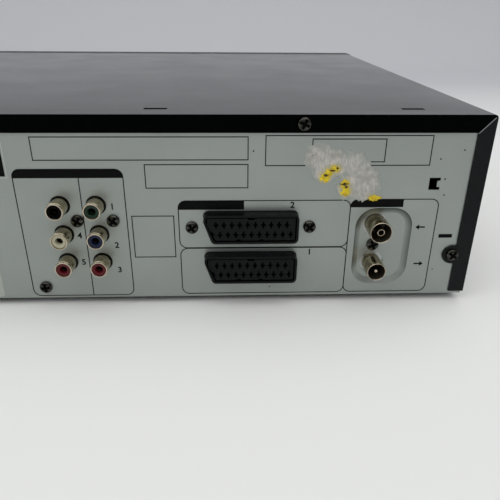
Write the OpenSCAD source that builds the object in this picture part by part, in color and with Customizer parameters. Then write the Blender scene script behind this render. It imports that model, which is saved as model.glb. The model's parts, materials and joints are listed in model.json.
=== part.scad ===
// Disc and tape combination deck: a steel-cased player with a video cassette
// mechanism on one side and a disc tray loader on the other.
// Millimetres. +Z is up, the front panel faces -Y, the socket panel faces +Y.
// The origin is the centre of the footprint, at the surface the feet stand on.

/* [Housing] */
// Width over the steel cover
body_w = 430; // [428:1:436]
// Height of the housing above its feet
body_h = 93.5; // [93:0.5:97]
// Depth of the steel housing behind the front panel
body_d = 320; // [319:1:330]
// Thickness of the cover, rear panel and chassis sheet
sheet_t = 0.8; // [0.6:0.1:1.0]
// Height of the feet
foot_h = 4; // [3:0.5:8]
// Diameter of the feet
foot_dia = 22; // [16:1:28]
// Gap between one fitted sheet or moulding and the next
fit_gap = 0.3; // [0.2:0.05:0.4]

/* [Cover lip] */
// Height of the cover's lip over the top edge of the rear panel
lip_h = 8.3; // [7:0.1:9]
// Width of the cover's lip down each side of the rear panel
lip_w = 7.9; // [7:0.1:9]
// Gap between the bottom of the cover and the bottom of the rear panel
cover_lift = 1.5; // [1:0.1:3]
// Radius of the ear round each side screw
ear_r = 5; // [4.5:0.1:6]
// Depth of that ear below the top of the cover
ear_drop = 70.6; // [60:0.1:76]

/* [Rear sockets, measured from the edge of the housing on the tape side] */
// Aerial sockets, distance from the edge
aerial_in_x = 50.4; // [48:0.1:51]
// Upper aerial socket, depth below the top of the cover
aerial_drop = 54.4; // [52:0.1:56]
// Distance from the aerial input down to the aerial output
aerial_pitch = 21.1; // [21:0.1:22.5]
// Diameter of the aerial input sleeve
aerial_in_dia = 10.8; // [10.6:0.1:11.4]
// Diameter of the aerial output sleeve
aerial_out_dia = 9.5; // [9.3:0.1:9.7]
// Length of the aerial sleeves behind the rear panel
aerial_proud = 10; // [9:0.1:12]
// Euro-connector sockets, distance from the edge to their centre
scart_x = 112.8; // [112:0.1:116]
// Upper euro-connector, depth of its centre below the top of the cover
scart_drop = 54; // [53:0.1:55]
// Distance between the two euro-connectors
scart_pitch = 21.9; // [21:0.1:22.5]
// Width of the euro-connector shroud
shroud_w = 46.2; // [46:0.1:47.6]
// Height of the euro-connector shroud
shroud_h = 15; // [14.8:0.1:15.8]
// Length of the shroud behind the rear panel
shroud_proud = 5.8; // [5:0.1:8]
// Phono sockets, distance from the edge to the nearer column
phono_x = 187.1; // [185:0.1:188]
// Distance between the two phono columns
phono_col = 17.1; // [16:0.1:18]
// Top phono row, depth below the top of the cover
phono_drop = 43; // [40:0.1:44]
// Distance between phono rows
phono_row = 15; // [14:0.1:15.6]
// Diameter of the phono shells
phono_dia = 8.3; // [8:0.1:8.5]
// Length of the phono shells behind the rear panel
phono_proud = 9.5; // [8:0.1:10]
// Mains inlet, distance from the other edge of the housing to its centre
inlet_x = 36; // [30:0.5:40]
// Height of the mains inlet above the chassis floor
inlet_z = 26; // [20:0.5:32]

/* [Front panel] */
// Depth of the moulded front panel
front_d = 24; // [23.5:0.5:27]
// Wall of the moulded front panel
front_wall = 2.5; // [2.2:0.1:2.8]
// Setback of the key strip below the face of the panel
strip_back = 3; // [2:0.1:3.2]
// Height of the key strip
strip_h = 26; // [25:0.5:27]
// Height of the cassette slot
slot_h = 34; // [33:0.5:35]
// Width of the cassette slot
slot_w = 194; // [192:0.5:196]
// Height of the tray door
door_h = 15; // [14:0.5:17]
// Travel of the push keys
key_travel = 0.8; // [0.4:0.1:0.9]
// Width of the display window
window_w = 124; // [100:1:130]
// Height of the display window
window_h = 20; // [18:0.5:22]

/* [Tape deck] */
// Centre of the tape deck, from the edge of the housing on its side
deck_in = 115; // [113:0.5:116]
// Height of the deck plate's top above the chassis floor
deck_rise = 21.2; // [21:0.1:22]
// Thickness of the deck plate
deck_t = 1.5; // [1.2:0.1:2]
// Distance between the two reel spindles
reel_pitch = 92; // [91:0.5:93]
// Diameter of the reel tables
reel_dia = 50; // [44:1:54]
// Diameter of the head drum
drum_dia = 62; // [60:0.5:63]
// Lean of the head drum
drum_lean = 6; // [4:0.5:7]
// Travel of the cassette holder into the deck
holder_travel = 60; // [50:1:60]
// Thickness of a cassette with its running space
cassette_h = 26; // [25.6:0.1:26.5]
// Width of a cassette with its running space
cassette_w = 188.5; // [188:0.1:189]

/* [Disc loader] */
// Centre of the disc loader, from the edge of the housing on its side
loader_in = 105; // [103:0.5:107]
// Width of the disc tray
tray_w = 130; // [129:0.5:131]
// Length of the disc tray
tray_len = 164; // [160:1:165]
// Travel of the disc tray
tray_travel = 130; // [120:1:132]
// Diameter of the disc well in the tray
well_dia = 122; // [121:0.5:123]
// Distance from the front of the tray to the centre of the disc
disc_in = 66; // [65:0.5:68]
// Diameter of the inner well for small discs
small_well = 82; // [81:0.5:84]
// Distance from the spindle back to the traverse hinge
traverse_arm = 88; // [87:0.5:90]
// Drop of the turntable below its playing height while the tray moves
traverse_drop = 12; // [11:0.5:12.5]
// Travel of the laser sled
sled_travel = 34; // [26:1:34]
// Gear module of the tray and loading gears
gear_module = 1; // [0.9:0.05:1]

/* [Hidden] */
$fn = 48;
eps = 0.01;
sides = [-1, 1];

// Housing planes
z_base = foot_h;
z_floor = foot_h + sheet_t;
z_top = foot_h + body_h;
deck_all = front_d + body_d + aerial_proud;
y_front = -deck_all / 2;
y_seam = y_front + front_d;
y_rear = y_seam + body_d;
edge_tape = -body_w / 2;
edge_disc = body_w / 2;
y_panel = y_rear - sheet_t;

// Screws
screw_r = 1.5;
screw_head_r = 3.1;
screw_head_h = 1.9;
screw_len = 8;
screw_bore_r = screw_r + 0.1;

// Rear panel places as [x, z]
aerial_c = edge_tape + aerial_in_x;
aerial_z = [z_top - aerial_drop, z_top - aerial_drop - aerial_pitch];
scart_c = edge_tape + scart_x;
scart_z = [z_top - scart_drop, z_top - scart_drop - scart_pitch];
scart_screw = 29;
scart_screw_z = scart_z[0] - 0.8;
phono_cols = [edge_tape + phono_x, edge_tape + phono_x + phono_col];
phono_rows = [for (i = [0:2]) z_top - phono_drop - i * phono_row];
phono_screw_z = phono_rows[0] - 0.53 * phono_row;
phono_screws = [
    [phono_cols[0] - 7.4, phono_screw_z],
    [phono_cols[1] - 7.3, phono_screw_z],
];
dish_w = 28.6;
dish_h = 42;
dish_r = 10.2;
dish_deep = 1.6;
dish_slope = 3;
dish_x = aerial_c - 3.9;
dish_z = aerial_z[0] - 0.56 * aerial_pitch;
aerial_screw = [aerial_c + 0.4, aerial_z[0] - 0.52 * aerial_pitch];
inlet_c = edge_disc - inlet_x;
inlet_h = z_floor + inlet_z;
inlet_w = 21;
inlet_tall = 12.5;
inlet_screw = 15;
edge_screw_z = z_base + 6.3;
flange_h = 6.4;
edge_screws = [[edge_tape + 217.4, edge_screw_z], [edge_disc - 100, edge_screw_z]];
lip_screws = [for (s = sides) [s * (body_w / 2 - 89), z_top - lip_h / 2]];
ear_screws = [for (s = sides) [s * (body_w / 2 - 9.6), z_top - ear_drop]];
cover_screw_at = concat(lip_screws, ear_screws);
scart_screws = [for (s = sides) [scart_c + s * scart_screw, scart_screw_z]];
inlet_screws = [for (s = sides) [inlet_c + s * inlet_screw, inlet_h]];
socket_screw_at = concat(phono_screws, scart_screws, inlet_screws);
panel_screw_at = concat(socket_screw_at, edge_screws);

// Boards
board_t = 1.6;
board_z = z_floor + 5;
board_top = board_z + board_t;
key_board_y = y_front + 14;

// Front panel
strip_top = z_base + strip_h;
y_strip = y_front + strip_back;
slot_x = edge_tape + deck_in + 3;
slot_z = z_floor + deck_rise + 24.5;
flap_gap = 0.4;
flap_t = 2;
flap_set = 0.2;
flap_round = 4.2;
flap_pin_r = 1.5;
flap_pin_y = y_front + flap_set + flap_round;
flap_pin_z = slot_z + slot_h - flap_gap - flap_round;
window_z = strip_top + 5;
loader_x = edge_disc - loader_in;
tray_z = z_floor + 63.2;
door_w = tray_w + 10;
rack_h = 4;
door_z = tray_z - rack_h - 0.6;
key_row_z = z_base + 13;
key_gap = 0.3;
key_proud = 1;
switch_h = 2.5;
switch_r = 1.7;

// Tape deck
deck_x = edge_tape + deck_in;
deck_z = z_floor + deck_rise;
deck_y0 = y_seam + 3;
holder_wall = 1;
bracket_t = 1.2;
bracket_x = cassette_w / 2 + holder_wall + 2.2;
deck_half = bracket_x + bracket_t + 0.35;
holder_len = 96;
holder_y = y_front + 42;
holder_z = slot_z + 3;
holder_end = holder_y + holder_len + holder_travel;
reel_y = holder_end - 55;
drum_y = holder_end + 49;
deck_y1 = drum_y + 48;
drum_base_h = 8;
drum_low_h = 15;
drum_up_h = 15;
drum_split = 0.4;
guide_a = [reel_pitch / 2 + 6, holder_end - 13];
guide_b = [40, drum_y - 8];
guide_dir = (guide_b - guide_a) / norm(guide_b - guide_a);
guide_travel = norm(guide_b - guide_a);
capstan_at = [62, holder_end + 9];
capstan_r = 2;
pinch_pivot = capstan_at + [22, 14];
pinch_arm_len = 20;
pinch_r = 7;
pinch_play_gap = 0.4;
pinch_gap = norm(pinch_pivot - capstan_at);
pinch_touch = capstan_r + pinch_r + pinch_play_gap;
pinch_corner = acos((pow(pinch_gap, 2) + pow(pinch_arm_len, 2) - pow(pinch_touch, 2))
    / (2 * pinch_gap * pinch_arm_len));
pinch_swing = 40;
pinch_rest = 180 + atan(14 / 22) + pinch_corner + pinch_swing;
pinch_rest_at = pinch_pivot + pinch_arm_len * [cos(pinch_rest), sin(pinch_rest)];
cam_teeth = 48;
cam_pinion_teeth = 12;
cam_at = [25 - deck_half, drum_y + 16];
cam_gap = gear_module * (cam_teeth + cam_pinion_teeth) / 2;
cam_pinion_at = cam_at + [cam_gap, 0];
holder_pin_r = 2;
holder_pins_y = [holder_y + 14, holder_y + 74];
holder_pin_z = holder_z + 14;
lift_drop = 22;

// Disc loader
tray_y = y_front + 3.6;
disc_y = tray_y + disc_in;
rail_x = tray_w / 2;
loader_z = z_floor + 40;
loader_floor_t = 2;
loader_y0 = y_seam - 4;
loader_y1 = disc_y + traverse_arm + 16;
pinion_teeth = 14;
pinion_r = gear_module * pinion_teeth / 2;
rack_x = -rail_x + 7;
pinion_x = rack_x + pinion_r;
pinion_y = y_seam + 9;
pulley_r = 13;
motor_pulley_r = 4;
motor_x = pinion_x + 42;
belt_z = loader_z + loader_floor_t + 3;
belt_t = 1.2;
play_z = tray_z + 6.5;
pivot_y = disc_y + traverse_arm;
pivot_z = tray_z - 12;
traverse_tilt = asin(traverse_drop / traverse_arm);
rod_r = 1.5;
rod_z = pivot_z - 1;
rod_x = 21;
sled_y = disc_y + 17;
sled_len = 20;
sled_y1 = sled_y + sled_len + sled_travel + fit_gap;
clamp_z = play_z + 2.9;
bridge_z = z_top - 14.5;
bridge_t = 1.6;

// Shared shapes

// Corner points of a polygon with each corner rounded to its own radius
function corner_arc(a, b, c, r, n) =
    let (u = (a - b) / norm(a - b), v = (c - b) / norm(c - b))
    let (half = acos(max(-1, min(1, u * v))) / 2)
    let (reach = r / tan(half), bis = (u + v) / norm(u + v))
    let (mid = b + bis * r / sin(half))
    let (p = b + u * reach, q = b + v * reach)
    let (a0 = atan2(p[1] - mid[1], p[0] - mid[0]), a1 = atan2(q[1] - mid[1], q[0] - mid[0]))
    let (turn = a1 - a0 > 180 ? a1 - a0 - 360 : a1 - a0 < -180 ? a1 - a0 + 360 : a1 - a0)
    [for (i = [0:n]) mid + r * [cos(a0 + turn * i / n), sin(a0 + turn * i / n)]];
function rounded(points, radii, n = 5) =
    let (k = len(points))
    [for (i = [0:k - 1])
        let (r = radii[i % len(radii)])
        each r <= 0 ? [points[i]]
            : corner_arc(points[(i + k - 1) % k], points[i], points[(i + 1) % k], r, n)];
function oblong(w, h, r, n = 5) =
    rounded([[-w / 2, -h / 2], [w / 2, -h / 2], [w / 2, h / 2], [-w / 2, h / 2]], [r], n);

module up(z) {
    translate([0, 0, z]) children();
}
module cuboid(x, y, z) {
    translate([x[0], y[0], z[0]]) cube([x[1] - x[0], y[1] - y[0], z[1] - z[0]]);
}
// A flat outline in X and Z, drawn as [x, z], thickened from y0 to y1
module upright(y0, y1) {
    translate([0, y1, 0]) rotate([90, 0, 0]) linear_extrude(y1 - y0) children();
}
// A flat outline in Y and Z, drawn as [y, z], thickened from x0 to x1
module sideways(x0, x1) {
    translate([x0, 0, 0]) rotate([90, 0, 90]) linear_extrude(x1 - x0) children();
}
// The stretch from a to b on side s of a centre line
function span(s, a, b) = s > 0 ? [a, b] : [-b, -a];
module tube_y(x, z, r, y0, y1) {
    translate([x, y0, z]) rotate([-90, 0, 0]) cylinder(r = r, h = y1 - y0);
}
module tube_x(y, z, r, x0, x1) {
    translate([x0, y, z]) rotate([0, 90, 0]) cylinder(r = r, h = x1 - x0);
}
module post(at, r, z0, z1) {
    translate([at[0], at[1], z0]) cylinder(r = r, h = z1 - z0);
}
// A slot with round ends between two points of a plate
module slot_2d(a, b, r) {
    side = [-(b - a)[1], (b - a)[0]] / norm(b - a) * r;
    polygon([a + side, a - side, b - side, b + side]);
    translate(a) circle(r = r);
    translate(b) circle(r = r);
}

// A pan-head screw whose head stands on y = 0 and whose shank runs towards -Y
module pan_screw(length = screw_len, reach = 0) {
    difference() {
        union() {
            rotate([-90, 0, 0]) rotate_extrude() polygon([
                [0, 0], [screw_head_r, 0], [screw_head_r, screw_head_h * 0.35],
                [screw_head_r * 0.86, screw_head_h * 0.72],
                [screw_head_r * 0.5, screw_head_h * 0.96], [0, screw_head_h]]);
            tube_y(0, 0, screw_r, -length, eps);
        }
        for (turn = [0, 90]) rotate([0, turn + 8, 0])
            cuboid([-1.7, 1.7], [screw_head_h * 0.45, screw_head_h + 1], [-0.32, 0.32]);
    }
}
module screws(places, y, length = screw_len) {
    for (p = places) translate([p[0], y, p[1]]) pan_screw(length);
}
module screw_holes(places, y0, y1, r = screw_bore_r) {
    for (p = places) tube_y(p[0], p[1], r, y0, y1);
}

// Gear teeth as a flat outline: straight flanks with running backlash
function gear_tooth(n, m, i) =
    let (r = n * m / 2, mid = 360 * i / n, deg = 180 / PI)
    [for (p = [[-1.2, -0.93], [0, -0.6], [0.85, -0.3], [0.85, 0.3], [0, 0.6], [-1.2, 0.93]])
        let (q = r + p[0] * m, a = mid + p[1] * m / q * deg) q * [cos(a), sin(a)]];
module gear_2d(n, m) {
    polygon([for (i = [0:n - 1]) each gear_tooth(n, m, i)]);
}

// Housing

module cover_profile(inset) {
    r = 1.8 - inset;
    half = body_w / 2 - inset;
    upper = z_top - inset;
    lower = z_base + cover_lift;
    polygon(rounded([[-half, lower], [half, lower], [half, upper], [-half, upper]],
        [0, 0, r, r], 6));
}
module cover_lip() {
    half = body_w / 2;
    lower = z_base + cover_lift;
    inner = half - lip_w;
    difference() {
        intersection() {
            cover_profile(0);
            union() {
                translate([-half, z_top - lip_h]) square([body_w, lip_h]);
                for (s = sides) translate([s * (half - lip_w / 2), (z_top + lower) / 2])
                    square([lip_w, z_top - lower], center = true);
                for (p = ear_screws) {
                    translate(p) circle(r = ear_r);
                    translate([p[0] + sign(p[0]) * ear_r / 2, p[1]])
                        square([ear_r, 2 * ear_r], center = true);
                }
            }
        }
        for (s = sides) slot_2d([s * (inner - 1), z_top - lip_h - 1],
            [s * (half - 1.6), z_top - 1.6], 0.18);
        for (p = cover_screw_at) translate(p) circle(r = screw_bore_r);
    }
}
module cover_side_vents() {
    for (s = sides, row = [0, 1], i = [0:13])
        sideways(s * body_w / 2 - 2, s * body_w / 2 + 2)
            slot_2d([y_seam + 60 + 7 * i, z_base + 34 + 26 * row],
                [y_seam + 60 + 7 * i, z_base + 52 + 26 * row], 1.25);
}
module cover_top_slots() {
    for (x = [35.3, 157.6], s = sides)
        cuboid([s * (body_w / 2 - x) - 5.5, s * (body_w / 2 - x) + 5.5],
            [y_rear - 15.2, y_rear - 11.6], [z_top - 3, z_top + 1]);
}
module top_cover() color([0.09, 0.1, 0.11]) {
    difference() {
        union() {
            upright(y_seam, y_rear + sheet_t) difference() {
                cover_profile(0);
                cover_profile(sheet_t);
                translate([-body_w, z_base]) square([2 * body_w, cover_lift + sheet_t + eps]);
                translate([-body_w / 2 + sheet_t, z_base]) square([body_w - 2 * sheet_t, 20]);
            }
            upright(y_rear, y_rear + sheet_t) cover_lip();
        }
        cover_side_vents();
        cover_top_slots();
    }
}

function shroud_outline(w, h, slope, r) = rounded(
    [[w / 2, -h / 2], [w / 2, h / 2], [-w / 2, h / 2], [-w / 2, h / 2 - 3.4],
        [-w / 2 + slope, -h / 2]], [r, r, r, 1, r], 4);
// Seen from behind the socket panel, +X lies to the left
module shroud_2d(grow) {
    mirror([1, 0]) polygon(shroud_outline(shroud_w + 2 * grow, shroud_h + 2 * grow, 4,
        2.4 + grow));
}
// The wall of the pressed dish as [distance from a corner's centre, height over the
// inner face of the panel]
module dish_profile() {
    foot = dish_r - dish_slope;
    polygon([[dish_r, sheet_t], [foot, sheet_t - dish_deep], [foot - 1, sheet_t - dish_deep],
        [foot - 1, -dish_deep], [foot - 0.2, -dish_deep], [dish_r - 0.2, 0], [dish_r + 1, 0],
        [dish_r + 1, sheet_t]]);
}
// One quarter of the dish, a rounded corner and half of each side, is mirrored twice
module pressed_dish() {
    half_w = dish_w / 2 - dish_r;
    half_h = dish_h / 2 - dish_r;
    for (sx = [0, 1], sy = [0, 1]) mirror([sx, 0, 0]) mirror([0, sy, 0]) {
        translate([half_w, half_h, 0]) rotate_extrude(angle = 90) dish_profile();
        translate([half_w, half_h, 0]) rotate([90, 0, 0]) linear_extrude(half_h)
            dish_profile();
        translate([0, half_h, 0]) rotate([90, 0, 90]) linear_extrude(half_w)
            dish_profile();
    }
    rim = dish_slope + 0.9;
    up(-dish_deep) linear_extrude(sheet_t)
        polygon(oblong(dish_w - 2 * rim, dish_h - 2 * rim, dish_r - rim, 6));
}
module rear_vents() {
    for (i = [0:9], row = [0, 1])
        slot_2d([edge_disc - 160 + 6 * i, z_base + 46 + 20 * row],
            [edge_disc - 160 + 6 * i, z_base + 60 + 20 * row], 1.25);
}
module panel_openings_2d() {
    for (x = phono_cols, z = phono_rows) translate([x, z]) circle(r = phono_dia / 2 + 0.7);
    for (z = scart_z) translate([scart_c, z]) shroud_2d(0.3);
    for (p = concat(panel_screw_at, cover_screw_at)) translate(p) circle(r = screw_bore_r);
    translate([inlet_c, inlet_h]) polygon(oblong(inlet_w + 0.6, inlet_tall + 0.6, 3.3));
    translate([edge_tape + 24.4, z_top - 33]) difference() {
        square([5.4, 6.1], center = true);
        translate([-2.7, 0]) square([2.8, 3], center = true);
    }
    rear_vents();
}
module rear_panel() color([0.56, 0.58, 0.58]) {
    half = body_w / 2 - sheet_t - fit_gap;
    difference() {
        union() {
            upright(y_panel, y_rear) difference() {
                polygon([[-half, z_base], [half, z_base],
                    [half, z_top - sheet_t - fit_gap], [-half, z_top - sheet_t - fit_gap]]);
                panel_openings_2d();
                translate([dish_x, dish_z]) polygon(oblong(dish_w + 1, dish_h + 1,
                    dish_r + 0.5, 8));
            }
            translate([dish_x, y_panel, dish_z]) rotate([90, 0, 180]) pressed_dish();
        }
        for (z = aerial_z) tube_y(aerial_c, z, aerial_in_dia / 2 + 0.6,
            y_panel - 5, y_rear + 1);
        tube_y(aerial_screw[0], aerial_screw[1], screw_bore_r, y_panel - 5, y_rear + 1);
    }
}

foot_at = [for (x = [-1, 1], y = [-1, 1])
    [x * (body_w / 2 - 45), (y_seam + y_rear) / 2 + y * (body_d / 2 - 35)]];
module bottom_chassis() color([0.62, 0.63, 0.62]) {
    half = body_w / 2 - sheet_t - fit_gap;
    wall_h = 12;
    back = y_panel - fit_gap;
    difference() {
        union() {
            cuboid([-half, half], [y_seam + 1, back], [z_base, z_floor]);
            for (s = sides) cuboid(span(s, half - sheet_t, half),
                [y_seam + 1, back], [z_base, z_base + wall_h]);
            cuboid([-half, half], [y_seam + 1, y_seam + 1 + sheet_t],
                [z_base, z_base + wall_h]);
            // low rear flange, with a raised tab at each screw
            cuboid([-half, half], [back - sheet_t, back], [z_base, z_base + flange_h]);
            for (p = edge_screws) upright(back - sheet_t, back)
                translate([p[0], z_base + 5.5]) polygon(oblong(12, 11, 2));
            for (p = ear_screws) cuboid([p[0] - 4, p[0] + 4], [back - 6, back],
                [z_base, p[1] + 5]);
        }
        for (p = foot_at) translate([p[0], p[1], 0]) cylinder(r = 3.1, h = 20);
        for (i = [0:11], row = [0:2]) translate([edge_disc - 135 + 9 * i, 0, 0])
            linear_extrude(z_floor + 1) slot_2d([0, y_rear - 118 + 34 * row],
                [0, y_rear - 94 + 34 * row], 1.5);
        screw_holes(edge_screws, y_panel - 8, y_rear, screw_bore_r);
        screw_holes(ear_screws, y_panel - 12, y_rear, screw_bore_r);
    }
    for (x = [edge_tape + 20, scart_c + 82, edge_disc - 190], y = [y_rear - 30]) post([x, y], 3.5, z_floor, board_z);
    for (x = [edge_disc - 185, edge_disc - 135], y = [y_rear - 140]) post([x, y], 3.5, z_floor, board_z);
    for (x = [edge_disc - 110, edge_disc - 16], y = [y_rear - 125, y_rear - 20])
        post([x, y], 3.5, z_floor, board_z);
}
module feet() color([0.05, 0.05, 0.055]) {
    for (p = foot_at) translate([p[0], p[1], 0]) {
        difference() {
            rotate_extrude() polygon([[0, 0], [foot_dia / 2 - 1.2, 0], [foot_dia / 2, 1.2],
                [foot_dia / 2, foot_h], [0, foot_h]]);
            up(-1) cylinder(r = 4, h = 2.2);
        }
        up(foot_h - eps) cylinder(r = 3, h = sheet_t + eps);
        up(z_floor) cylinder(r = 4.4, h = 1.2);
    }
}
module cover_screws() color([0.3, 0.3, 0.32]) {
    screws(lip_screws, y_rear + sheet_t, 4.5);
    screws(ear_screws, y_rear + sheet_t, 6);
}
module panel_screws() color([0.16, 0.15, 0.15]) {
    screws(socket_screw_at, y_rear);
    screws(edge_screws, y_rear, 4);
    translate([aerial_screw[0], y_panel - dish_deep + sheet_t, aerial_screw[1]])
        pan_screw(6);
}

// Rear sockets

phono_block_d = 14;
phono_tip = y_rear + phono_proud;
module phono_block() color([0.07, 0.07, 0.075]) {
    x0 = phono_cols[0] - 9.5;
    x1 = phono_cols[1] + 6.8;
    z0 = board_top;
    difference() {
        union() {
            cuboid([x0, x1], [y_panel - phono_block_d, y_panel],
                [z0, phono_rows[0] + 7]);
            for (x = phono_cols, z = phono_rows)
                tube_y(x, z, phono_dia / 2 + 0.45, y_panel - eps, y_rear + 0.4);
        }
        for (x = phono_cols, z = phono_rows)
            tube_y(x, z, phono_dia / 2 - 0.4, y_panel - 9, y_rear + 1);
        screw_holes(phono_screws, y_panel - 9, y_rear);
    }
}
module phono_shell(x, z, y0, collar, y1) {
    r = phono_dia / 2;
    translate([x, 0, z]) rotate([-90, 0, 0]) up(y0) rotate_extrude() polygon([
        [r - 0.75, 0], [r - 0.45, 0], [r - 0.45, collar - y0], [r, collar - y0],
        [r, y1 - y0 - 0.5], [r - 0.2, y1 - y0], [r - 0.55, y1 - y0], [r - 0.75, y1 - y0 - 0.5]]);
}
module phono_shells() color([0.72, 0.69, 0.62]) {
    for (x = phono_cols, z = phono_rows) phono_shell(x, z, y_panel - 8.9, y_rear + 0.4, phono_tip);
}
phono_colours = [
    ["darkgreen", "darkblue", "darkred"], ["black", "ivory", "darkred"]];
module phono_insert(x, z, tip) {
    translate([x, 0, z]) rotate([-90, 0, 0]) up(tip - 16.5)
        difference() {
            cylinder(r = phono_dia / 2 - 0.8, h = 15.9);
            up(6) cylinder(r = 1.65, h = 20);
            up(14.7) cylinder(r1 = 1.65, r2 = 2.35, h = 1.3);
        }
}
module phono_inserts() {
    for (col = [0, 1], row = [0:2]) color(phono_colours[col][row])
        phono_insert(phono_cols[col], phono_rows[row], phono_tip - 0.3);
}

scart_depth = 16;
scart_wall = 1.15;
scart_insert = 1.75;
contact_pitch = 3.81;
row_pitch = 5.08;
module scart_cross_2d() {
    square([2.4, 0.8], center = true);
    square([0.85, 3.4], center = true);
}
// Contact cavities: ten over eleven, the lower row shifted half a pitch
module scart_cavities_2d() {
    for (i = [0:9]) translate([contact_pitch * (i - 4.5) - 0.1, row_pitch / 2 - 0.2])
        scart_cross_2d();
    for (i = [0:10]) translate([contact_pitch * (i - 5) - 0.1, -row_pitch / 2 - 0.2])
        scart_cross_2d();
}
module scart_socket() {
    tip = y_rear + shroud_proud;
    face = tip - 0.5;
    // shroud
    upright(y_panel - 1, tip) difference() {
        shroud_2d(0);
        shroud_2d(-scart_wall);
    }
    // insert with its contact cavities
    difference() {
        upright(y_panel - 1, face) difference() {
            shroud_2d(-scart_insert);
            translate([0, shroud_h / 2 - scart_insert]) square([3.4, 1.6], center = true);
            for (x = [-5, 6]) translate([x, -shroud_h / 2 + scart_insert])
                square([2.2, 1.2], center = true);
        }
        upright(face - 5, face + 1) scart_cavities_2d();
    }
    // body behind the panel
    cuboid([-shroud_w / 2, shroud_w / 2], [y_panel - scart_depth, y_panel - 1 + eps],
        [-shroud_h / 2, shroud_h / 2]);
}
module scart_sockets() color([0.05, 0.055, 0.06]) {
    difference() {
        union() {
            for (z = scart_z) translate([scart_c, 0, z]) scart_socket();
            cuboid([scart_c - 33, scart_c + 33], [y_panel - 6, y_panel],
                [scart_screw_z - 3.4, scart_screw_z + 3.4]);
            cuboid([scart_c - shroud_w / 2, scart_c + shroud_w / 2],
                [y_panel - scart_depth, y_panel - scart_depth + 3], [board_top, scart_z[1]]);
            cuboid([scart_c - shroud_w / 2, scart_c + shroud_w / 2],
                [y_panel - scart_depth, y_panel - 1], [scart_z[1], scart_z[0]]);
        }
        for (z = scart_z) translate([scart_c, 0, z])
            upright(y_panel - 3, y_rear + shroud_proud + 1) difference() {
                shroud_2d(-scart_wall);
                shroud_2d(-scart_insert);
            }
        screw_holes(scart_screws, y_panel - 9, y_rear);
    }
}

can_front = y_panel - dish_deep;
can_depth = 34;
can_top = aerial_z[0] + 9;
module tuner_can() color([0.7, 0.71, 0.7]) {
    difference() {
        cuboid([aerial_c - 17, aerial_c + 13], [can_front - can_depth, can_front],
            [board_top, can_top]);
        cuboid([aerial_c - 16.4, aerial_c + 12.4],
            [can_front - can_depth + 0.6, can_front - 3], [board_top + 1, can_top - 0.6]);
        for (z = aerial_z) tube_y(aerial_c, z, aerial_out_dia / 2 - 0.9,
            can_front - 3.5, can_front + 1);
        screw_holes([aerial_screw], can_front - 9, y_rear);
        for (i = [0:3]) cuboid([aerial_c - 12 + 7 * i, aerial_c - 8 + 7 * i],
            [can_front - can_depth - 1, can_front - can_depth + 1],
            [board_top + 6, can_top - 6]);
    }
}
// A coaxial sleeve with its closed foot
module aerial_sleeve(r) {
    tip = dish_deep + aerial_proud + sheet_t;
    bore = r - 0.55;
    rotate([-90, 0, 0]) rotate_extrude() polygon([[0, 0], [r, 0], [r, tip - 0.4],
        [r - 0.35, tip], [bore, tip], [bore, 1.2], [0, 1.2]]);
}
module aerial_in_socket() color([0.7, 0.66, 0.55]) {
    translate([aerial_c, can_front, aerial_z[0]]) {
        aerial_sleeve(aerial_in_dia / 2);
        rotate([-90, 0, 0]) difference() {
            cylinder(r = 1.9, h = aerial_proud + 1.9);
            up(3) cylinder(r = 1.2, h = 20);
        }
    }
}
module aerial_out_plug() color([0.7, 0.66, 0.55]) {
    translate([aerial_c, can_front, aerial_z[1]]) {
        aerial_sleeve(aerial_out_dia / 2);
        rotate([-90, 0, 0]) rotate_extrude() polygon([[0, 0], [1.15, 0],
            [1.15, aerial_proud + 0.4], [0.5, aerial_proud + 1.3], [0, aerial_proud + 1.3]]);
    }
}
module mains_inlet() color([0.05, 0.05, 0.055]) {
    mouth_w = 16.4;
    mouth_h = 8.4;
    translate([inlet_c, 0, inlet_h]) {
        difference() {
            union() {
                upright(y_panel - 14, y_rear + 2) polygon(oblong(inlet_w, inlet_tall, 3));
                upright(y_panel - 4, y_panel) difference() {
                    polygon(oblong(38, 15, 3));
                }
            }
            upright(y_panel - 9, y_rear + 3)
                slot_2d([-mouth_w / 2 + mouth_h / 2, 0], [mouth_w / 2 - mouth_h / 2, 0],
                    mouth_h / 2);
            for (s = sides) tube_y(s * inlet_screw, 0, screw_bore_r, y_panel - 9, y_rear);
        }
        for (s = sides) tube_y(s * 4.3, 0, 1.2, y_panel - 9 - eps, y_rear + 0.5);
    }
}

// Boards

module chip(x, y, w, d, h = 1.6) {
    cuboid([x - w / 2, x + w / 2], [y - d / 2, y + d / 2], [board_top, board_top + h]);
}
module main_board() {
    y1 = y_panel - 4;
    x0 = edge_tape + 15.5;
    x1 = deck_x + deck_half + 7;
    x2 = edge_disc - 127;
    mid = (x1 + x2) / 2;
    color([0.08, 0.3, 0.16]) up(board_z) linear_extrude(board_t)
        polygon([[x0, deck_y1 + 2], [x1, deck_y1 + 2], [x1, y_rear - 146],
            [x2, y_rear - 146], [x2, y1], [x0, y1]]);
    color([0.06, 0.06, 0.07]) {
        chip(mid + 3, y_rear - 90, 26, 26);
        chip(mid + 3, y_rear - 125, 18, 10);
        chip(mid - 23, y_rear - 105, 12, 20);
        chip(mid + 19, y_rear - 50, 20, 14);
    }
    color([0.1, 0.1, 0.25]) for (i = [0:4])
        post([x2 - 64 + 13 * i, y_rear - 24], 4, board_top, board_top + 11);
    color([0.85, 0.83, 0.75]) for (i = [0:2])
        chip(mid - 17 + 17 * i, y_rear - 140, 14, 5, 6);
}
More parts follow.
